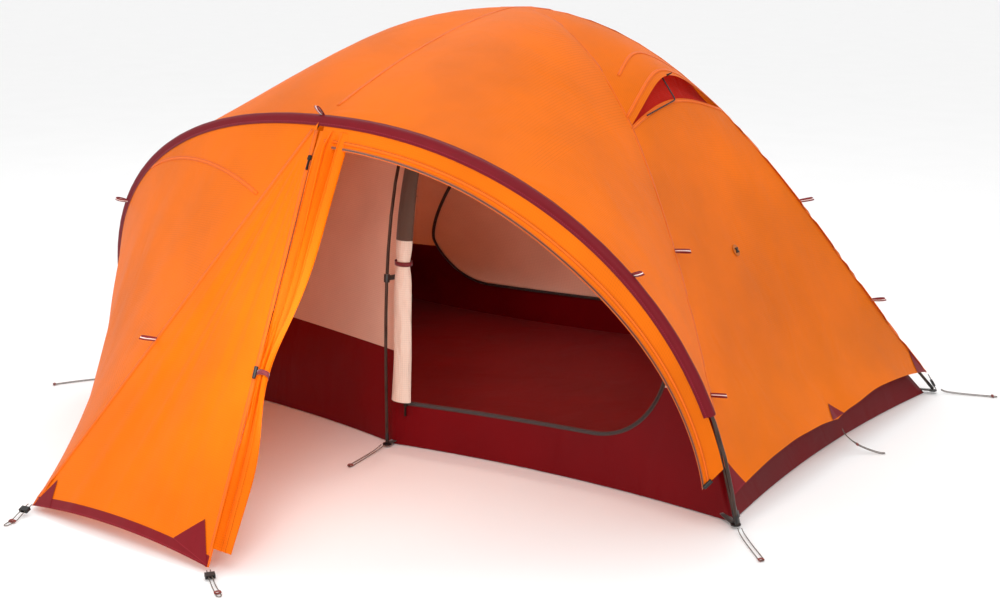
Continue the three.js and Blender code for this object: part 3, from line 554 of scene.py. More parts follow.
def lay(bm, place, across, up, size, tone=0):
    """Adds one panel of cloth: a flat grid moved onto place(v, u) and mapped in metres."""
    layer = bm.loops.layers.uv.get("cloth") or bm.loops.layers.uv.new("cloth")
    made = bmesh.ops.create_grid(bm, x_segments=across, y_segments=up, size=0.5)["verts"]
    at = {v: (v.co.x + 0.5, v.co.y + 0.5) for v in made}
    faces = {f for v in made for f in v.link_faces}
    for face in faces:
        face.material_index = tone
        for loop in face.loops:
            v, u = at[loop.vert]
            loop[layer].uv = (v * size[0], u * size[1])
    for vert, (v, u) in at.items():
        vert.co = place(v, u)
    return faces


def sew(bm, reach=0.0004):
    """Joins panels whose edges meet."""
    bmesh.ops.remove_doubles(bm, verts=bm.verts, dist=reach)
    bmesh.ops.dissolve_degenerate(bm, edges=bm.edges, dist=reach / 4)


def wall(lines, low, high, belly):
    """A panel between neighbouring lines, taken anticlockwise seen from above, which stands out by
    `belly` in its middle. `low` and `high` are heights, or above 2 the lines' upper ends."""
    spans = len(lines) - 1
    known = {}

    def share(i, height):
        if height > 2:
            return 1.0
        key = (i, round(height, 6))
        if key not in known:
            known[key] = lines[i].share_at(height)
        return known[key]

    def place(v, u):
        span = min(int(v * spans + 1e-9), spans - 1)
        within = v * spans - span
        ends = []
        for i in (span, span + 1):
            start, end = share(i, low), share(i, high)
            ends.append(lines[i].at(start + (end - start) * u))
        along = ends[1] - ends[0]
        out = Vector((along.y, -along.x, 0))
        if out.length > 1e-6:
            out.normalize()
        return ends[0].lerp(ends[1], within) + out * belly(within, u) * arc(within)

    return place


INNER_HANG, CORNER_INSET = 0.045, 0.028
TUB_TOP, FLOOR_SWEEP, CANOPY_SAG = 0.270, 0.042, 0.008
END = 9.0


def around(grow, lift):
    return {"front_right": leg(1, -1, grow), "back_right": leg(1, 1, grow),
            "back_middle": centre_line(1, grow, lift), "back_left": leg(-1, 1, grow),
            "front_left": leg(-1, -1, grow), "front_middle": centre_line(-1, grow, lift)}


def straight(a, b):
    return Line(lambda t: a.lerp(b, t), 24)


def at_height(line, height):
    point = line.at(line.share_at(height))
    return Vector((point.x, point.y, height))


INNER = around(-INNER_HANG, 0.020 - INNER_HANG)
floor_lines = around(-CORNER_INSET, -CORNER_INSET)
TUB_FOOT = 0.002
TUB_LINES = {name: straight(at_height(floor_lines[name], TUB_FOOT), at_height(INNER[name], TUB_TOP))
             for name in INNER}
SIDES = {"front": ("front_left", "front_middle", "front_right"),
         "right": ("front_right", "back_right"),
         "back": ("back_right", "back_middle", "back_left"),
         "left": ("back_left", "front_left")}
COLUMNS = {"front": 112, "right": 52, "back": 112, "left": 52}
WIDTHS = {"front": 2.1, "right": 1.3, "back": 2.1, "left": 1.3}


def tub_belly(within, u):
    return -FLOOR_SWEEP + (FLOOR_SWEEP - CANOPY_SAG) * u


def canopy_belly(within, u):
    ripple = noise.noise(Vector((within * 5, u * 2, 3.1)))
    return -CANOPY_SAG + 0.006 * ripple * math.sin(math.pi * u)


tub_place, canopy_place = {}, {}
for side, names in SIDES.items():
    tub_place[side] = wall([TUB_LINES[n] for n in names], TUB_FOOT, TUB_TOP, tub_belly)
    canopy_place[side] = wall([INNER[n] for n in names], TUB_TOP, END, canopy_belly)

TUB_ROWS, CANOPY_ROWS = 14, 48
inner = bmesh.new()
for side in SIDES:
    lay(inner, tub_place[side], COLUMNS[side], TUB_ROWS, (WIDTHS[side], 0.28), tone=1)
    lay(inner, canopy_place[side], COLUMNS[side], CANOPY_ROWS, (WIDTHS[side], 1.3), tone=0)
inner.faces.ensure_lookup_table()
skin = BVHTree.FromBMesh(inner)

DOOR_START, DOOR_BOTTOM, DOOR_REACH, DOOR_TOP, DOOR_FAR = 0.030, 0.124, 0.775, 0.985, 0.300


def bezier(a, b, c, d, steps):
    points = []
    for i in range(steps):
        t = i / steps
        weights = ((1 - t) ** 3, 3 * t * (1 - t) ** 2, 3 * t * t * (1 - t), t ** 3)
        points.append(tuple(sum(w * p[k] for w, p in zip(weights, (a, b, c, d))) for k in (0, 1)))
    return points


def line_between(a, b, steps):
    return [tuple(p + (q - p) * i / steps for p, q in zip(a, b)) for i in range(steps)]


bottom_end = (DOOR_REACH - 0.17, DOOR_BOTTOM + 0.006)
far = (DOOR_REACH, DOOR_FAR)
top = (DOOR_START, DOOR_TOP)
STRAIGHT_STEPS = 90
DOOR = [*line_between((DOOR_START, DOOR_BOTTOM), bottom_end, 60),
        *bezier(bottom_end, (DOOR_REACH - 0.06, DOOR_BOTTOM + 0.010),
                (DOOR_REACH, DOOR_BOTTOM + 0.080), far, 28),
        *bezier(far, (DOOR_REACH - 0.02, DOOR_FAR + 0.12),
                (DOOR_START + 0.27, DOOR_TOP - 0.055), top, 90),
        *line_between(top, (DOOR_START, DOOR_BOTTOM), STRAIGHT_STEPS)]


def inside_door(x, z):
    """Whether a point of the side view lies in the D of the doorway."""
    odd = False
    for (ax, az), (bx, bz) in zip(DOOR, DOOR[1:] + DOOR[:1]):
        if (az > z) != (bz > z) and x < ax + (bx - ax) * (z - az) / (bz - az):
            odd = not odd
    return odd


def on_skin(x, z, side_y):
    """The point and outward normal of the long wall at this place in the side view."""
    behind = 0.16 if z > 1.0 else 0.0
    start = Vector((x, side_y * 0.02 - behind, z))
    place, normal, _, _ = skin.ray_cast(start, Vector((0, side_y, 0)))
    if normal.y * side_y < 0:
        normal = -normal
    return place, normal


RIM = {side_y: [on_skin(-side_y * x, z, side_y) for x, z in DOOR] for side_y in (-1, 1)}
for side_y in (-1, 1):
    gone = []
    for face in inner.faces:
        centre = face.calc_center_median()
        on_side = centre.y * side_y > 0.05 and abs(face.normal.x) < 0.9
        if on_side and inside_door(-side_y * centre.x, centre.z):
            gone.append(face)
    rim_verts = {v for f in gone for v in f.verts}
    bmesh.ops.delete(inner, geom=gone, context="FACES")
    rim_verts = [v for v in rim_verts if v.is_valid]
    for vert in rim_verts:
        if vert.is_boundary or any(e.is_boundary for e in vert.link_edges):
            vert.co = min((p for p, _ in RIM[side_y]), key=lambda p: (p - vert.co).length)
sew(inner)
PEACH = cloth("peach_ripstop", (0.98, 0.87, 0.80), 0.50, rough=0.55, sheen=0.1, crease=0.25)
MAROON = cloth("coated_maroon", (0.43, 0.02, 0.07), 0.10, rough=0.45, sheen=0.0, crease=0.25)
inner_tent = finish_mesh("inner_tent", inner, [PEACH, MAROON])
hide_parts("tub_front", "tub_right", "tub_back", "tub_left", "canopy_front_right",
            "canopy_front_left", "canopy_right_end", "canopy_back", "canopy_left_end", "canopy_crown")

# The rear door is zipped shut: its own D of peach ripstop fills the rear doorway.
rear = bmesh.new()
layer = rear.loops.layers.uv.new("cloth")
bmesh.ops.create_grid(rear, x_segments=60, y_segments=70, size=0.5)
for vert in rear.verts:
    vert.co = Vector((DOOR_START + (DOOR_REACH - DOOR_START) * (vert.co.x + 0.5), 0,
                      DOOR_BOTTOM + (DOOR_TOP - DOOR_BOTTOM) * (vert.co.y + 0.5)))
middles = {f: f.calc_center_median() for f in rear.faces}
gone = [f for f, middle in middles.items() if not inside_door(middle.x, middle.z)]
bmesh.ops.delete(rear, geom=gone, context="FACES")
for face in rear.faces:
    for loop in face.loops:
        loop[layer].uv = (loop.vert.co.x, loop.vert.co.z)
for vert in rear.verts:
    if vert.is_boundary:
        here = Vector((vert.co.x, 0, vert.co.z))
        vert.co = min((p for p, _ in RIM[1]), key=lambda p: (Vector((-p.x, 0, p.z)) - here).length)
    else:
        vert.co = on_skin(-vert.co.x, vert.co.z, 1)[0]
bmesh.ops.reverse_faces(rear, faces=rear.faces)
bmesh.ops.remove_doubles(rear, verts=rear.verts, dist=0.0004)
rear_door = finish_mesh("rear_door", rear, PEACH)

# Both doorways are edged with a coil zip on dark tape.
ZIP_HALF = 0.0055


def coil_zip(name, base=(0.26, 0.18, 0.17)):
    """Zip tape with its coil standing up along the middle."""
    material, shader, node, link = start_material(name, base, 0.6, sheen=0.2)
    place = node("UVMap", uv_map="cloth")
    split = node("SeparateXYZ")
    teeth = node("TexWave", bands_direction="X", Scale=WAVE_SPAN / COIL_PITCH)
    off = node("Math", operation="ABSOLUTE")
    inside = node("Math", {1: 0.0022}, operation="LESS_THAN")
    height = node("Math", operation="MULTIPLY")
    paint = node("Mix", {
        "A": dye(base), "B": (*((0.5 * c) ** 2.2 for c in base), 1)}, data_type="RGBA")
    bump = node("Bump", Strength=0.9, Distance=0.0012)
    link(place, "UV", split, "Vector")
    link(place, "UV", teeth, "Vector")
    link(split, "Y", off, 0)
    link(off, "Value", inside, 0)
    link(inside, "Value", height, 0)
    link(teeth, "Fac", height, 1)
    link(inside, "Value", paint, "Factor")
    link(paint, "Result", shader, "Base Color")
    link(height, "Value", bump, "Height")
    link(bump, "Normal", shader, "Normal")
    return material


ZIP = coil_zip("coil_zip")
CURVED = len(DOOR) - STRAIGHT_STEPS  # no zip along the straight edge beside the centre pole
for side_y, name, off in ((-1, "front_door_zip", 0.0014), (-1, "front_door_zip_inside", -0.0034),
                          (1, "rear_door_zip", 0.0014), (1, "rear_door_zip_inside", -0.0034)):
    rim = RIM[side_y][:CURVED]
    line = [p + n * off for p, n in rim]
    ups = []
    for i, (_, normal) in enumerate(rim):
        along = line[min(i + 1, len(line) - 1)] - line[max(i - 1, 0)]
        ups.append(normal.cross(along).normalized())
    band(name, line, lambda t, u=ups: u[round(t * (len(u) - 1))], lambda t: ZIP_HALF, 0.0012, ZIP)

# The floor is a sheet of the same coated nylon, sewn to the foot of the tub's walls.


def floor_place(v, u):
    front, back = tub_place["front"](v, 0), tub_place["back"](1 - v, 0)
    left, right = tub_place["left"](1 - u, 0), tub_place["right"](u, 0)
    corner = [tub_place["front"](0, 0), tub_place["front"](1, 0),
              tub_place["back"](1, 0), tub_place["back"](0, 0)]
    place = (front.lerp(back, u) + left.lerp(right, v)
             - corner[0].lerp(corner[1], v).lerp(corner[2].lerp(corner[3], v), u))
    fade = min(1, 6 * v, 6 * (1 - v)) * min(1, 6 * u, 6 * (1 - u))
    place.z = TUB_FOOT + 0.004 * fade * (0.5 + noise.noise(Vector((v * 9, u * 6, 0.7))))
    return place


floor = bmesh.new()
lay(floor, floor_place, 84, 56, (2.1, 1.3))
FLOOR = cloth("floor_cloth", (0.50, 0.10, 0.12), 0.0, sheen=0.05, crease=0.3, crease_size=5)
floor_sheet = finish_mesh("floor_sheet", floor, FLOOR)
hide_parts("tub_floor")

# ---- Rolled-up front door ----
# The opened door is rolled from its free edge to the centre pole and tied: white nylon below,
# and above the tie the grey insect mesh of the window turns outwards.

ROLL_LOW, ROLL_HIGH, ROLL_WIDE, ROLL_DEEP = 0.142, 0.955, 0.033, 0.020
ROLL_X, ROLL_OFF = 0.042, 0.005
ROLL_TURNS, TIE_AT = 3.6, 0.48


def roll_path(t):
    z = ROLL_LOW + (ROLL_HIGH - ROLL_LOW) * t
    behind = at_height(TUB_LINES["front_middle"] if z < TUB_TOP else INNER["front_middle"], z)
    return Vector((ROLL_X, behind.y - ROLL_DEEP * (1 - 0.35 * t) - ROLL_OFF - 0.012 * t, z))


def roll_place(v, u):
    turn = 2 * math.pi * ROLL_TURNS * v
    pinch = 1 - 0.22 * math.exp(-((u - TIE_AT) / 0.035) ** 2)
    shrink = (1 - 0.52 * v) * pinch * (0.97 - 0.25 * u * u)
    ridge = 1 + 0.05 * noise.noise(Vector((3 * math.cos(turn), 3 * math.sin(turn), 7 * u + v)))
    flare = 1 + 0.10 * math.exp(-u / 0.06)
    x = ROLL_WIDE * 0.97 * shrink * ridge * flare * math.cos(turn)
    y = -ROLL_DEEP * 0.95 * shrink * ridge * math.sin(turn)
    sway = 0.004 * math.sin(5 * u + 0.6)
    return roll_path(u) + Vector((x + sway, y, 0))


roll = bmesh.new()
lay(roll, roll_place, 150, 70, (0.6, 0.82))
MESH_FROM = 0.60
for face in roll.faces:
    face.material_index = 1 if face.calc_center_median().z > MESH_FROM else 0
bmesh.ops.recalc_face_normals(roll, faces=roll.faces)
WHITE = cloth("white_nylon", (0.93, 0.86, 0.80), 0.25, rough=0.6, crease=0.5, crease_size=26)
NETTING = cloth("grey_netting", (0.42, 0.34, 0.30), 0.35, rough=0.8, rip=0.0022, crease=0.4,
                crease_size=30)
rolled_door = finish_mesh("rolled_door", roll, [WHITE, NETTING])
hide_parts("door_roll")

tie_steps = 40
tie_centre = roll_path(TIE_AT)
tie = []
for i in range(tie_steps + 1):
    turn = 2 * math.pi * i / tie_steps
    tie.append(tie_centre + Vector((0.0285 * math.cos(turn), 0.0165 * math.sin(turn),
                                    0.002 * math.sin(turn))))
MAROON_WEBBING = woven("maroon_webbing", (0.45, 0.07, 0.13))
TIE_HALF = 0.006
tie_band = band("door_tie_band", tie, lambda t: Vector((0, 0, 1)), lambda t: TIE_HALF, 0.0012,
                MAROON_WEBBING, closed=True)
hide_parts("door_tie")

# ---- Fly ----
# The outer skin: orange coated ripstop, one sheet sewn from shaped panels along the pole lines. It
# lies over the poles, reaches forward to the hoop, and falls from there to two stakes in front.

FLY_OUT, FLY_HEM, FLY_SAG = 0.016, 0.070, 0.034
FLY = around(FLY_OUT, FLY_OUT + 0.020)
ORANGE = cloth("orange_ripstop", (0.95, 0.46, 0.03), 0.24, sheen=0.03, crease=0.3, crease_size=6.5)
ROWS_LOW, ROWS_HIGH = 52, 18
ROWS = ROWS_LOW + ROWS_HIGH
VENT_SIDE, VENT_LIP, VENT_GAP, VENT_FLARE, LIP_BULGE = 0.905, 0.955, 0.066, 0.085, 0.030


def rung(line, u):
    """The point of a fly line at row u, where the rows change their pitch at the vent's height."""
    hem, vent = line.share_at(FLY_HEM), line.share_at(VENT_SIDE)
    turn = ROWS_LOW / ROWS
    if u <= turn:
        share = hem + (vent - hem) * u / turn
    else:
        share = vent + (1 - vent) * (u - turn) / (1 - turn)
    return line.at(share), share


RUNGS = {name: [rung(line, i / ROWS) for i in range(ROWS + 1)]
         for name, line in FLY.items() if name != "front_middle"}


def between(a, b, v, out_by):
    along = b - a
    out = Vector((along.y, -along.x, 0))
    if out.length > 1e-6:
        out.normalize()
    return a.lerp(b, v) + out * out_by


def pull(v, u, seed):
    """Faint tension folds: they fan out from the hem's held corners and die out up the panel."""
    spread = math.sin(math.pi * v) * (1 - u) ** 1.5
    fine = noise.noise(Vector((v * 9, u * 3.0, seed)))
    broad = noise.noise(Vector((v * 3.2, u * 2.2, seed + 5)))
    return 0.006 * fine * spread + 0.008 * broad * math.sin(math.pi * v) * math.sin(math.pi * u)


def fly_sag(u):
    return -FLY_SAG * math.sin(math.pi * min(u * 0.9 + 0.1, 1))


def scallop(v):
    """Hems curve up between the points that hold them down."""
    return 0.030 * math.sin(math.pi * v) ** 0.8


def fly_panel(names, seed):
    spans = len(names) - 1

    def place(v, u):
        span = min(int(v * spans + 1e-9), spans - 1)
        within = v * spans - span
        row = round(u * ROWS)
        a, b = RUNGS[names[span]][row][0], RUNGS[names[span + 1]][row][0]
        point = between(a, b, within, arc(within) * fly_sag(u) + pull(within, u, seed + span))
        point.z += scallop(within) * (1 - u) ** 9
        return point

    return place


def vent_lip(v):
    return VENT_SIDE + (VENT_LIP - VENT_SIDE) * arc(v)


def hood_edge(v):
    return VENT_SIDE + (VENT_LIP + VENT_GAP - VENT_SIDE) * arc(v)


def right_low(v, u):
    """The right end, from its hem up to the vent's lower lip."""
    ends = []
    for name in ("front_right", "back_right"):
        line = FLY[name]
        start, end = line.share_at(FLY_HEM), line.share_at(vent_lip(v))
        ends.append(line.at(start + (end - start) * u))
    belly = arc(v) * (fly_sag(u * 0.75) * (1 - u ** 3) + LIP_BULGE * u ** 5) + pull(v, u, 1.0)
    point = between(ends[0], ends[1], v, belly)
    held = 1 - abs(2 * v - 1)  # the cord at the hem's middle holds it down
    point.z += (scallop(min(1, 2 * min(v, 1 - v))) + 0.022 * held) * (1 - u) ** 9
    return point


def hood(v, u):
    ends = []
    for name in ("front_right", "back_right"):
        line = FLY[name]
        start = line.share_at(hood_edge(v))
        ends.append(line.at(start + (1 - start) * u))
    return between(ends[0], ends[1], v, arc(v) * VENT_FLARE * (1 - u) ** 1.6)


CROWN = 0.030
HOOP_EDGE = 0.012


def roof(side_x):
    """From a front leg forward to the hoop."""
    name = "front_right" if side_x > 0 else "front_left"

    def place(v, u):
        to_hoop = 1 - v if side_x > 0 else v
        on_leg, share = RUNGS[name][round(u * ROWS)]
        on_hoop = HOOP[side_x].at(share)
        t = to_hoop * (1 - HOOP_EDGE / max((on_hoop - on_leg).length, 0.05))
        point = on_leg.lerp(on_hoop, t)
        swell = CROWN * arc(to_hoop) * min(1, 1.1 * u)
        shoulder = math.exp(-((share - 0.86) / 0.13) ** 2)
        swell += 0.028 * shoulder * math.sin(math.pi * to_hoop ** 0.6)
        point.z += swell + pull(to_hoop, u, 11.0 + side_x) * (1 - u ** 4)
        return point

    return place


VESTIBULE_DEPTH, VESTIBULE_HEM, HEM_RISE, VESTIBULE_BULGE = 1.612, 0.014, 0.022, 0.010
VESTIBULE_LEFT, VESTIBULE_RIGHT = -0.415, 0.215
STAKES = {-1: Vector((VESTIBULE_LEFT, -VESTIBULE_DEPTH, VESTIBULE_HEM)),
          1: Vector((VESTIBULE_RIGHT, -VESTIBULE_DEPTH, VESTIBULE_HEM))}
APEX = Vector((0, -HALF_WIDTH - HOOP_LEAN, HOOP_HEIGHT))
APEX_EDGE = APEX + Vector((0, -HOOP_EDGE * 0.8, -HOOP_EDGE * 0.6))
CORNER = Vector((-HALF_LENGTH, -HALF_WIDTH, FLY_HEM))
SIDE_START = 0.06


def vestibule_side(v, u):
    share = SIDE_START + (1 - SIDE_START) * v
    top = HOOP[-1].at(share)
    low = CORNER.lerp(STAKES[-1], share)
    low.z += HEM_RISE * arc(v)
    span = (top - low).length
    point = low.lerp(top, u * (1 - HOOP_EDGE / span))
    sag = VESTIBULE_BULGE * arc(u) * math.sin(math.pi * v)
    fan = 0.010 * noise.noise(Vector((v * 11, u * 1.5, 21)))
    fan = fan * math.sin(math.pi * v) ** 0.5 * math.sin(math.pi * u)
    return point + Vector((-0.75, -0.6, 0.2)) * (sag + fan)


def vestibule_front(v, u):
    low = STAKES[-1].lerp(STAKES[1], v)
    low.z += HEM_RISE * arc(v)
    point = low.lerp(APEX_EDGE, u)
    fold = (0.010 * noise.noise(Vector((v * 7, u * 1.2, 33)))
            + 0.006 * noise.noise(Vector((v * 19, u * 1.6, 35))))
    out = Vector((0, -0.82, 0.57))
    return point + out * fold * arc(v) * math.sin(math.pi * min(1, u + 0.1)) ** 0.5


fly = bmesh.new()
lay(fly, right_low, 64, ROWS_LOW, (1.3, 1.1))
lay(fly, hood, 64, ROWS_HIGH, (1.0, 0.6))
lay(fly, fly_panel(("back_right", "back_middle", "back_left"), 3.0), 112, ROWS, (2.1, 1.7))
lay(fly, fly_panel(("back_left", "front_left"), 6.0), 64, ROWS, (1.3, 1.7))
lay(fly, roof(1), 44, ROWS, (0.8, 1.7))
lay(fly, roof(-1), 44, ROWS, (0.8, 1.7))
lay(fly, vestibule_side, 72, 64, (1.1, 1.0))
lay(fly, vestibule_front, 40, 64, (0.63, 1.15))
sew(fly)
fly_skin = BVHTree.FromBMesh(fly)
rainfly = finish_mesh("rainfly", fly, ORANGE)
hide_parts("fly_right_end", "vent_hood", "fly_back", "fly_left_end", "fly_roof_right",
            "fly_roof_left", "vestibule_left", "vestibule_front")


def on_fly(point):
    """The nearest point of the fly, with its outward normal."""
    place, normal, _, _ = fly_skin.find_nearest(point)
    return place, normal


# Flat seams run down the ridges and panel joins, each with two rows of stitches.
def stitched(name, base, thread, rows=(0.0028,), pitch=0.0045):
    """Cloth with rows of stitches at these distances from the middle of its map."""
    material, shader, node, link = start_material(name, base, 0.55, sheen=0.03)
    shader.inputs["Specular IOR Level"].default_value = 0.2
    place = node("UVMap", uv_map="cloth")
    split = node("SeparateXYZ")
    off = node("Math", operation="ABSOLUTE")
    run = node("Math", {1: 1 / pitch}, operation="MULTIPLY")
    part = node("Math", operation="FRACT")
    dash = node("Math", {1: 0.68}, operation="LESS_THAN")
    link(place, "UV", split, "Vector")
    link(split, "Y", off, 0)
    link(split, "X", run, 0)
    link(run, "Value", part, 0)
    link(part, "Value", dash, 0)
    total = None
    for row in rows:
        near = node("Math", operation="COMPARE")
        near.inputs[1].default_value = row
        near.inputs[2].default_value = 0.0005
        link(off, "Value", near, 0)
        if total is None:
            total = near
        else:
            both = node("Math", operation="ADD")
            link(total, "Value", both, 0)
            link(near, "Value", both, 1)
            total = both
    sewn = node("Math", operation="MULTIPLY")
    cloud = node("TexNoise", Scale=40, Detail=4)
    tone = node("Mix", {
        "A": dye(base, 0.85), "B": dye(base, 1.1)}, data_type="RGBA")
    paint = node("Mix", {"B": dye(thread)}, data_type="RGBA")
    bump = node("Bump", Strength=0.7, Distance=0.0006)
    link(total, "Value", sewn, 0)
    link(dash, "Value", sewn, 1)
    link(place, "UV", cloud, "Vector")
    link(cloud, "Fac", tone, "Factor")
    link(tone, "Result", paint, "A")
    link(sewn, "Value", paint, "Factor")
    link(paint, "Result", shader, "Base Color")
    link(sewn, "Value", bump, "Height")
    link(bump, "Normal", shader, "Normal")
    return material


SEAM = stitched("orange_seam", (0.90, 0.40, 0.05), (0.72, 0.28, 0.05))
SEAM_HALF, SEAM_OFF = 0.0055, 0.0012


def seam(name, points, material=SEAM, half=SEAM_HALF, off=SEAM_OFF):
    """A flat seam laid on the fly through these points."""
    line, normals = [], []
    for point in points:
        place, normal = on_fly(point)
        line.append(place + normal * off)
        normals.append(normal)
    ups = []
    for i, normal in enumerate(normals):
        along = line[min(i + 1, len(line) - 1)] - line[max(i - 1, 0)]
        ups.append(normal.cross(along))
    last = len(ups) - 1
    return band(name, line, lambda t: ups[round(t * last)], lambda t: half, 0.0008, material)


for name in ("front_right", "back_right", "back_middle", "back_left", "front_left"):
    seam("seam_" + name, [RUNGS[name][i][0] for i in range(0, ROWS + 1, 2)])
peak = FLY["front_right"].at(1)
seam("seam_ridge", [peak.lerp(APEX, i / 40) + Vector((0, 0, 0.01)) for i in range(38)])
seam("seam_vestibule", [vestibule_front(0, i / 48) for i in range(48)])
seam("seam_zip", [vestibule_front(1, i / 48) for i in range(48)])
cross_start = (HOOP[-1].share_at(0.775) - SIDE_START) / (1 - SIDE_START)
seam("seam_left_panel", [vestibule_side(cross_start + (1 - cross_start) * i / 24,
                                        0.985 - 0.185 * i / 24) for i in range(24)])

# ---- Hem band and corner patches ----
# A narrow band of the maroon cloth edges the front hem. Triangles of it, doubled and stitched,
# strengthen each point where a cord or strap pulls on the fly.

PATCH = stitched("maroon_patch", (0.45, 0.02, 0.09), (0.60, 0.15, 0.20), rows=(0.004,))
PATCH_OFF = 0.0022


def laid(name, place, across, up, size, material, off=PATCH_OFF, onto=True):
    """A second layer of cloth, which follows the fly a little outside it."""
    bm = bmesh.new()
    lay(bm, place, across, up, size)
    if onto:
        for vert in bm.verts:
            point, normal = on_fly(vert.co)
            if (point - vert.co).length < 0.03:
                vert.co = point + normal * off
    bmesh.ops.remove_doubles(bm, verts=bm.verts, dist=0.0002)
    return finish_mesh(name, bm, material)


def triangle(a, b, c):
    """Stitched triangle from the edge a-b up to c."""
    return lambda v, u: a.lerp(b, v).lerp(c, u)


HEM_BAND = 0.026
hem_share = HEM_BAND / (APEX - STAKES[1]).length
laid("front_hem_band", lambda v, u: vestibule_front(v, hem_share * u), 48, 4, (0.63, HEM_BAND),
     PATCH, off=0.0014)
left_end = fly_panel(("back_left", "front_left"), 6.0)


def over_leg(name, row):
    """The point of the fly's line over a leg at this row above the hem."""
    return RUNGS[name][row][0]


PATCHES = {
    "stake_right": (vestibule_front(0.80, 0.02), vestibule_front(1, 0.0),
                    vestibule_front(0.93, 0.085)),
    "stake_left": (vestibule_front(0, 0), vestibule_front(0.11, 0), vestibule_front(0.04, 0.068)),
    "corner_front_right": (over_leg("front_right", 0), right_low(0.055, 0),
                           over_leg("front_right", 5)),
    "corner_roof_right": (roof(1)(0.72, 0), over_leg("front_right", 0),
                          over_leg("front_right", 5)),
    "corner_back_right": (right_low(0.945, 0), over_leg("back_right", 0),
                          over_leg("back_right", 5)),
    "corner_back_left": (left_end(0, 0), left_end(0.055, 0), over_leg("back_left", 5)),
    "tie_right": (right_low(0.47, 0), right_low(0.53, 0), right_low(0.5, 0.055)),
}
for name, (a, b, c) in PATCHES.items():
    laid("patch_" + name, triangle(a, b, c), 12, 12, ((b - a).length, (c - a).length), PATCH)

# ---- Hoop sleeve ----
# A long tube of maroon cloth, domed by the hoop pole inside it, whose two flanges are sewn to the
# roof behind and to the vestibule in front. It ends above each foot, where the pole runs bare.

SLEEVE_END, SLEEVE_DOME, SLEEVE_FLANGE = 0.312, 0.0092, 0.021
DOME_SHARE = 0.42  # of the sleeve's half width; the rest is its flange
SLEEVE = stitched("maroon_sleeve", (0.42, 0.02, 0.10), (0.56, 0.15, 0.22), rows=(0.0155, 0.0175))


def square_to(direction, along):
    return (direction - along * direction.dot(along)).normalized()


def sleeve_place(v, u):
    """v runs from the left end over the top to the right end, u from the roof to the vestibule."""
    side = -1 if v < 0.5 else 1
    line = HOOP[side]
    low = line.share_at(SLEEVE_END)
    share = low + (1 - low) * (1 - abs(2 * v - 1))
    point = line.at(share)
    along = (line.at(min(share + 0.004, 1)) - line.at(share - 0.004)).normalized() * -side
    leg_point = (FLY["front_right"] if side > 0 else FLY["front_left"]).at(share)
    front_point = CORNER.lerp(STAKES[-1], share)
    if side > 0:
        front_point = Vector((-CORNER.x, CORNER.y, CORNER.z)).lerp(STAKES[1], share)
    back = square_to(leg_point - point, along)
    front = square_to(front_point - point, along)
    back_up = back.cross(along)
    if back_up.dot(point - Vector((0, point.y, 0))) < 0:
        back_up = -back_up
    front_up = front.cross(along)
    if front_up.dot(point - Vector((0, point.y, 0))) < 0:
        front_up = -front_up
    pucker = 0.0006 * noise.noise(Vector((v * 90, u * 4, 2)))
    across = (u - 0.5) * 2
    reach = abs(across)
    direction, up = (back, back_up) if across < 0 else (front, front_up)
    if reach > DOME_SHARE:
        out = 0.010 + (SLEEVE_FLANGE - 0.010) * (reach - DOME_SHARE) / (1 - DOME_SHARE)
        rise = 0.0020 + 0.0045 * max(0, 1 - (reach - DOME_SHARE) / 0.2)
        return point + direction * out + up * (rise + pucker)
    turn = across / DOME_SHARE
    middle = (back_up + front_up).normalized()
    lean = middle.lerp(up, min(1, 0.35 * reach / DOME_SHARE)).normalized()
    angle = turn * math.radians(78)
    flat = square_to(front - back, middle)
    return point + (lean * math.cos(angle) + flat * math.sin(angle)) * (SLEEVE_DOME + pucker)


sleeve = bmesh.new()
lay(sleeve, sleeve_place, 220, 20, (2.2, 0.052))
for face in sleeve.faces:
    for loop in face.loops:
        uv = loop[sleeve.loops.layers.uv["cloth"]].uv
        uv.y -= 0.026
hoop_sleeve = finish_mesh("hoop_sleeve_cloth", sleeve, SLEEVE)
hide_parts("hoop_sleeve")

# ---- Door header ----
# What stays of the vestibule's door side when the door is open: a strip of fly cloth under the
# hoop's right half, with half of the door's zip along its lower edge and a hook at its end.

HEADER_TOP, HEADER_END = 0.990, 0.112
RIGHT_CORNER = Vector((HALF_LENGTH, -HALF_WIDTH, FLY_HEM))


def header_place(v, u):
    share = HEADER_TOP + (HEADER_END - HEADER_TOP) * v
    top = HOOP[1].at(share)
    low = RIGHT_CORNER.lerp(STAKES[1], share)
    width = 0.081 + 0.012 * math.exp(-((v - 0.55) / 0.2) ** 2) + 0.010 * max(0, v - 0.6)
    ripple = 0.0025 * noise.noise(Vector((v * 14, u * 2, 8))) * u
    point = top.lerp(low, (HOOP_EDGE + (width - HOOP_EDGE) * u) / (low - top).length)
    return point + Vector((0.3, -0.7, 0.4)) * ripple


header = bmesh.new()
lay(header, header_place, 150, 10, (1.3, 0.07))
door_header = finish_mesh("door_header_cloth", header, ORANGE)
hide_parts("door_header")


def edging(name, place, count, across, half, material, thick=0.0008):
    """A band along place(t), laid flat along across(t)."""
    line = [place(i / count) for i in range(count + 1)]
    return band(name, line, across, lambda t: half, thick, material)


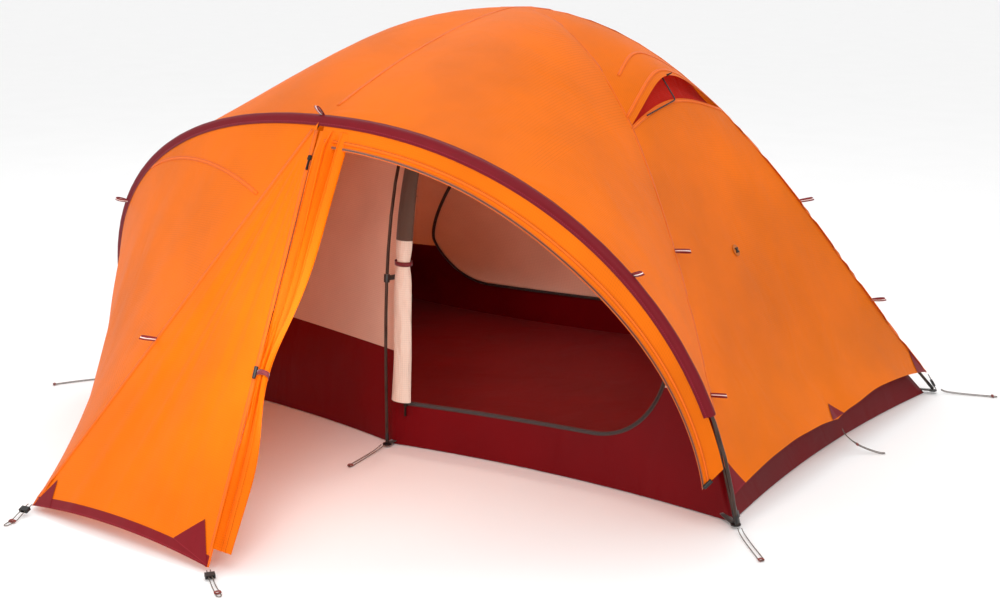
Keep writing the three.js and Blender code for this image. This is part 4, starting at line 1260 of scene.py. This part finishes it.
ORANGE_ZIP = coil_zip("orange_coil_zip", (0.78, 0.36, 0.10))
HEADER_OUT = Vector((0.3, -0.75, 0.45)).normalized() * 0.0016
edging("header_zip", lambda t: header_place(t, 0.94) + HEADER_OUT, 120,
       lambda t: header_place(t, 1) - header_place(t, 0.8), 0.0042, ORANGE_ZIP)
edging("header_seam", lambda t: header_place(t, 0.70) + HEADER_OUT, 120,
       lambda t: header_place(t, 1) - header_place(t, 0.8), 0.0040, SEAM)
end_low, end_high = header_place(1, 1), header_place(1, 0.1)
collar("header_hook", end_low.lerp(end_high, 0.3) + HEADER_OUT * 2, end_high - end_low, 0.0055,
       0.026, NYLON)

# ---- Gathered door ----
# The open vestibule door hangs in loose folds beside its zip, gathered at mid height by a maroon
# tie, whose black toggle goes through a loop on the front panel.

FLAP_TOP, FLAP_LOW, FLAP_WAVES, FLAP_TIE = 0.030, 0.962, 2.7, 0.55
ZIP_FROM, ZIP_RUN = 0.12, 0.865  # shares of the zip's length: where the tie's share counts from


def flap_half(share):
    t = (share - ZIP_FROM) / ZIP_RUN
    tied = math.exp(-((t - FLAP_TIE) / 0.145) ** 2)
    loose = 0.043 * (1 - 0.45 * t)
    return loose - (loose - 0.0145) * tied


tie_row = ZIP_FROM + ZIP_RUN * FLAP_TIE


def flap_place(v, u):
    share = FLAP_TOP + (FLAP_LOW - FLAP_TOP) * u
    half = flap_half(share)
    zip_point = APEX.lerp(STAKES[1], share)
    wander = 0.5 * noise.noise(Vector((v * 2.5, u * 3.0, 4)))
    phase = 2 * math.pi * (FLAP_WAVES * v ** 1.25 + 0.5 * wander)
    x = half * (2 * v - 1) + 0.10 * half * math.sin(2 * phase)
    deep = half * 0.50 * math.sin(phase) * (0.70 + 0.6 * noise.noise(Vector((v * 3, u * 3, 9))))
    deep += 0.006 * math.exp(-((share - tie_row) / 0.10) ** 2) * math.sin(2 * math.pi * 8 * v)
    forward = Vector((0, -0.82, 0.57))
    fade = min(1, (share - FLAP_TOP) / 0.06 + 0.25)
    return zip_point + Vector((half + 0.006 + x, 0, 0)) + forward * deep * fade


flap = bmesh.new()
lay(flap, flap_place, 132, 120, (0.42, 1.1))
door_flap = finish_mesh("door_flap_cloth", flap, ORANGE)
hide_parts("door_flap_gathered")

tie_at = APEX.lerp(STAKES[1], tie_row)
tie_half = flap_half(tie_row)
down = (STAKES[1] - APEX).normalized()
tie_side = square_to(Vector((1, 0, 0)), down)
tie_out = tie_side.cross(down)
loop_line = []
for i in range(41):
    turn = 2 * math.pi * i / 40
    loop_line.append(tie_at + Vector((tie_half + 0.006, 0, 0))
                     + tie_side * (tie_half + 0.003) * math.cos(turn)
                     + tie_out * (0.6 * tie_half + 0.0025) * math.sin(turn)
                     + down * 0.004 * math.sin(turn))
band("flap_tie", loop_line, lambda t: down, lambda t: TIE_HALF, 0.0012, MAROON_WEBBING,
     closed=True)
to_front = 1 if tie_out.y > 0 else -1
collar("flap_toggle", tie_at + Vector((0.004, 0, 0)) - tie_out * 0.010 * to_front,
       down, 0.0052, 0.030, NYLON, taper=0.8)

# ---- Vent ----
# A high vent at the right end. Its hood has a stiffened brim between two seams, red netting closes
# its mouth, and a bent wire prop holds it open.

NET_INSIDE = 0.010


def net_place(v, u):
    across = 0.03 + 0.94 * v
    low, high = right_low(across, 0.975), hood(across, 0.12)
    point = low.lerp(high, u)
    return point + Vector((-NET_INSIDE - 0.008 * math.sin(math.pi * u), 0, 0))


net = bmesh.new()
lay(net, net_place, 40, 12, (0.5, 0.07))
RED_NET = cloth("red_netting", (0.86, 0.17, 0.10), 0.5, rough=0.7, rip=0.0026, crease=0.2,
                crease_size=16)
vent_net = finish_mesh("vent_net", net, RED_NET)
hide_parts("vent_mesh")
seam("seam_brim_edge", [hood(i / 48, 0.045) for i in range(49)])
seam("seam_brim_back", [hood(0.10 + 0.80 * i / 48, 0.20) for i in range(49)])
seam("seam_vent_lip", [right_low(i / 48, 0.992) for i in range(49)])
brim = hood(0.5, 0)
collar("brim_tip", brim + Vector((0.004, 0, 0.004)), Vector((0.9, 0, 0.45)), 0.0035, 0.020, NYLON,
       taper=0.3)
dress("vent_prop", NYLON)

# ---- Webbing loops ----
# Short loops of maroon webbing with a white stripe are sewn into the seams, for guy lines.

STRIPED = woven("striped_webbing", (0.55, 0.02, 0.08), stripe=(0.93, 0.88, 0.86),
                stripe_half=0.0013)
LOOP_LONG, LOOP_HALF = 0.040, 0.0058


def guy_loop(name, place, out, across):
    start, normal = on_fly(place)
    out = (out + normal * 0.4).normalized()
    up = across.cross(out).normalized()
    line = []
    for i in range(25):
        t = i / 24
        reach = LOOP_LONG * (1 - abs(2 * t - 1) ** 1.6)
        line.append(start + normal * 0.002 + out * reach
                    + up * 0.0030 * math.sin(2 * math.pi * (0.5 - t)))
    band("guy_loop_" + name, line, lambda t: across, lambda t: LOOP_HALF, 0.0010, STRIPED)


LOOP_HEIGHTS = (("front_right", 0.611), ("front_right", 0.286), ("back_right", 0.626),
                ("back_right", 0.313), ("back_left", 0.620), ("back_left", 0.300),
                ("front_left", 0.300), ("back_middle", 0.620))
for name, height in LOOP_HEIGHTS:
    line = FLY[name]
    share = line.share_at(height)
    along = (line.at(share + 0.02) - line.at(share)).normalized()
    out = Vector((line.at(share).x, line.at(share).y, 0)).normalized()
    if name == "front_right":
        out = Vector((0.95, 0.25, -0.1)).normalized()
    guy_loop(f"{name}_{round(height * 1000)}", line.at(share), out, along)
for side, height in ((1, 0.640), (-1, 0.638)):
    share = HOOP[side].share_at(height)
    along = (HOOP[side].at(share + 0.02) - HOOP[side].at(share)).normalized()
    guy_loop("hoop_right" if side > 0 else "hoop_left", HOOP[side].at(share),
             Vector((side * 0.9, -0.35, 0.15)), along)
guy_loop("hoop_apex", APEX + Vector((0, -0.004, 0.010)), Vector((0, -0.75, 0.55)),
         Vector((1, 0, 0)))
seam_point = vestibule_front(0, 0.43)
guy_loop("panel_seam", seam_point, Vector((-0.5, -0.75, 0.1)), (APEX - STAKES[-1]).normalized())

# ---- Cord port ----
# A round reinforcement on the right end with a small cross of black bars, where a line from the
# inside can come out.

port_at, port_normal = on_fly(Vector((0.765, -0.106, 0.561)))
PORT = stitched("port_patch", (0.72, 0.38, 0.12), (0.45, 0.22, 0.08))
collar("cord_port", port_at + port_normal * 0.0020, port_normal, 0.017, 0.0024, PORT,
       sides=32)
port_side = square_to(Vector((0, 1, 0)), port_normal)
port_up = port_normal.cross(port_side)
for name, axis in (("a", port_side + port_up), ("b", port_side - port_up)):
    collar("port_bar_" + name, port_at + port_normal * 0.0050, axis, 0.0022, 0.019, NYLON,
           sides=10)

# ---- Straps and clips ----
# Dark webbing, woven in a herringbone: two corner straps through ladder locks, and a short strap
# from each pole clip to the canopy.


def dark_strap(name, base):
    material, shader, node, link = start_material(name, base, 0.75, sheen=0.3)
    place = node("TexCoord")
    rows = node("TexWave", {"Distortion": 1.2}, bands_direction="Z", Scale=160)
    fuzz = node("TexNoise", Scale=420, Detail=3)
    tone = node("Mix", {
        "A": dye(base, 0.7), "B": dye(base, 1.4)}, data_type="RGBA")
    bump = node("Bump", Strength=0.6, Distance=0.0005)
    link(place, "Object", rows, "Vector")
    link(place, "Object", fuzz, "Vector")
    link(fuzz, "Fac", tone, "Factor")
    link(tone, "Result", shader, "Base Color")
    link(rows, "Fac", bump, "Height")
    link(bump, "Normal", shader, "Normal")
    return material


STRAP = dark_strap("herringbone_webbing", (0.23, 0.21, 0.20))
dress("corner_strap_front_right", STRAP)
dress("corner_strap_back_right", STRAP)
CLIP_HEIGHT = 0.487
for name in ("front_right", "back_right", "back_left", "front_left", "front_middle", "back_middle"):
    low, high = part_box("pole_clip_" + name)
    start = (low + high) / 2
    end = at_height(INNER[name], CLIP_HEIGHT - 0.004)
    inwards = end - start
    line = [start + inwards * (0.16 + 0.80 * i / 8) for i in range(9)]
    band("clip_strap_" + name, line, lambda t: Vector((0, 0, 1)), lambda t: 0.007, 0.0014,
         DARK_WEBBING)

# ---- Zip sliders ----
# Three cast metal sliders in worn dark paint: on the front door, the rear door and the vestibule.

SLIDER = anodised("painted_slider", (0.20, 0.18, 0.17), 0.42)
for name in ("door_zip_slider", "rear_door_zip_slider", "vestibule_zip_slider"):
    dress(name, SLIDER)

# ---- Stage ----
# A pale floor and soft studio light from above and from both sides, which also shines through the
# thin cloth and fills the inside with a warm glow.

paper, paper_shader, node, link = start_material("floor_paper", (0.97, 0.97, 0.97), 0.85)
place = node("TexCoord")
mottle = node("TexNoise", Scale=3, Detail=3)
tone = node("Mix", data_type="RGBA")
tone.inputs["A"].default_value = (0.90, 0.90, 0.90, 1)
tone.inputs["B"].default_value = (0.93, 0.93, 0.93, 1)
link(place, "Object", mottle, "Vector")
link(mottle, "Fac", tone, "Factor")
link(tone, "Result", paper_shader, "Base Color")
ground = bmesh.new()
bmesh.ops.create_grid(ground, x_segments=1, y_segments=1, size=30)
for vertex in ground.verts:
    vertex.co.z = -0.001
ground_mesh = bpy.data.meshes.new("studio_floor")
ground.to_mesh(ground_mesh)
ground.free()
studio_floor = bpy.data.objects.new("studio_floor", ground_mesh)
studio_floor.data.materials.append(paper)
bpy.context.scene.collection.objects.link(studio_floor)


def softbox(name, place, aim, size, energy, tint=(1, 1, 1)):
    lamp = bpy.data.lights.new(name, "AREA")
    lamp.shape, lamp.size, lamp.energy, lamp.color = "DISK", size, energy, tint
    made = bpy.data.objects.new(name, lamp)
    made.location = place
    made.rotation_euler = (Vector(aim) - Vector(place)).to_track_quat("-Z", "Y").to_euler()
    made.visible_camera = False
    bpy.context.scene.collection.objects.link(made)
    return made


softbox("key_light", (2.2, -3.2, 4.2), (0, -0.2, 0.4), 2.6, 52)
softbox("top_light", (-0.8, 0.6, 4.4), (0, 0, 0.5), 3.0, 36)
softbox("side_light", (-4.2, -2.8, 2.6), (-0.4, -1.0, 0.5), 2.4, 22)
softbox("doorway_fill", (1.0, -3.2, 0.7), (-0.3, -0.6, 0.4), 0.9, 15, (1, 0.96, 0.92))
softbox("vestibule_fill", (0.30, -1.35, 0.60), (-0.35, -0.65, 0.35), 0.5, 1.6, (1, 0.93, 0.88))
softbox("room_fill", (0.1, -0.1, 1.0), (0.2, 0.1, 0.0), 0.3, 2.4, (1, 0.88, 0.80))
world = bpy.data.worlds.new("studio")
bpy.context.scene.world = world
world.use_nodes = True
world.node_tree.nodes["Background"].inputs["Color"].default_value = (1, 1, 1, 1)
world.node_tree.nodes["Background"].inputs["Strength"].default_value = 1.0
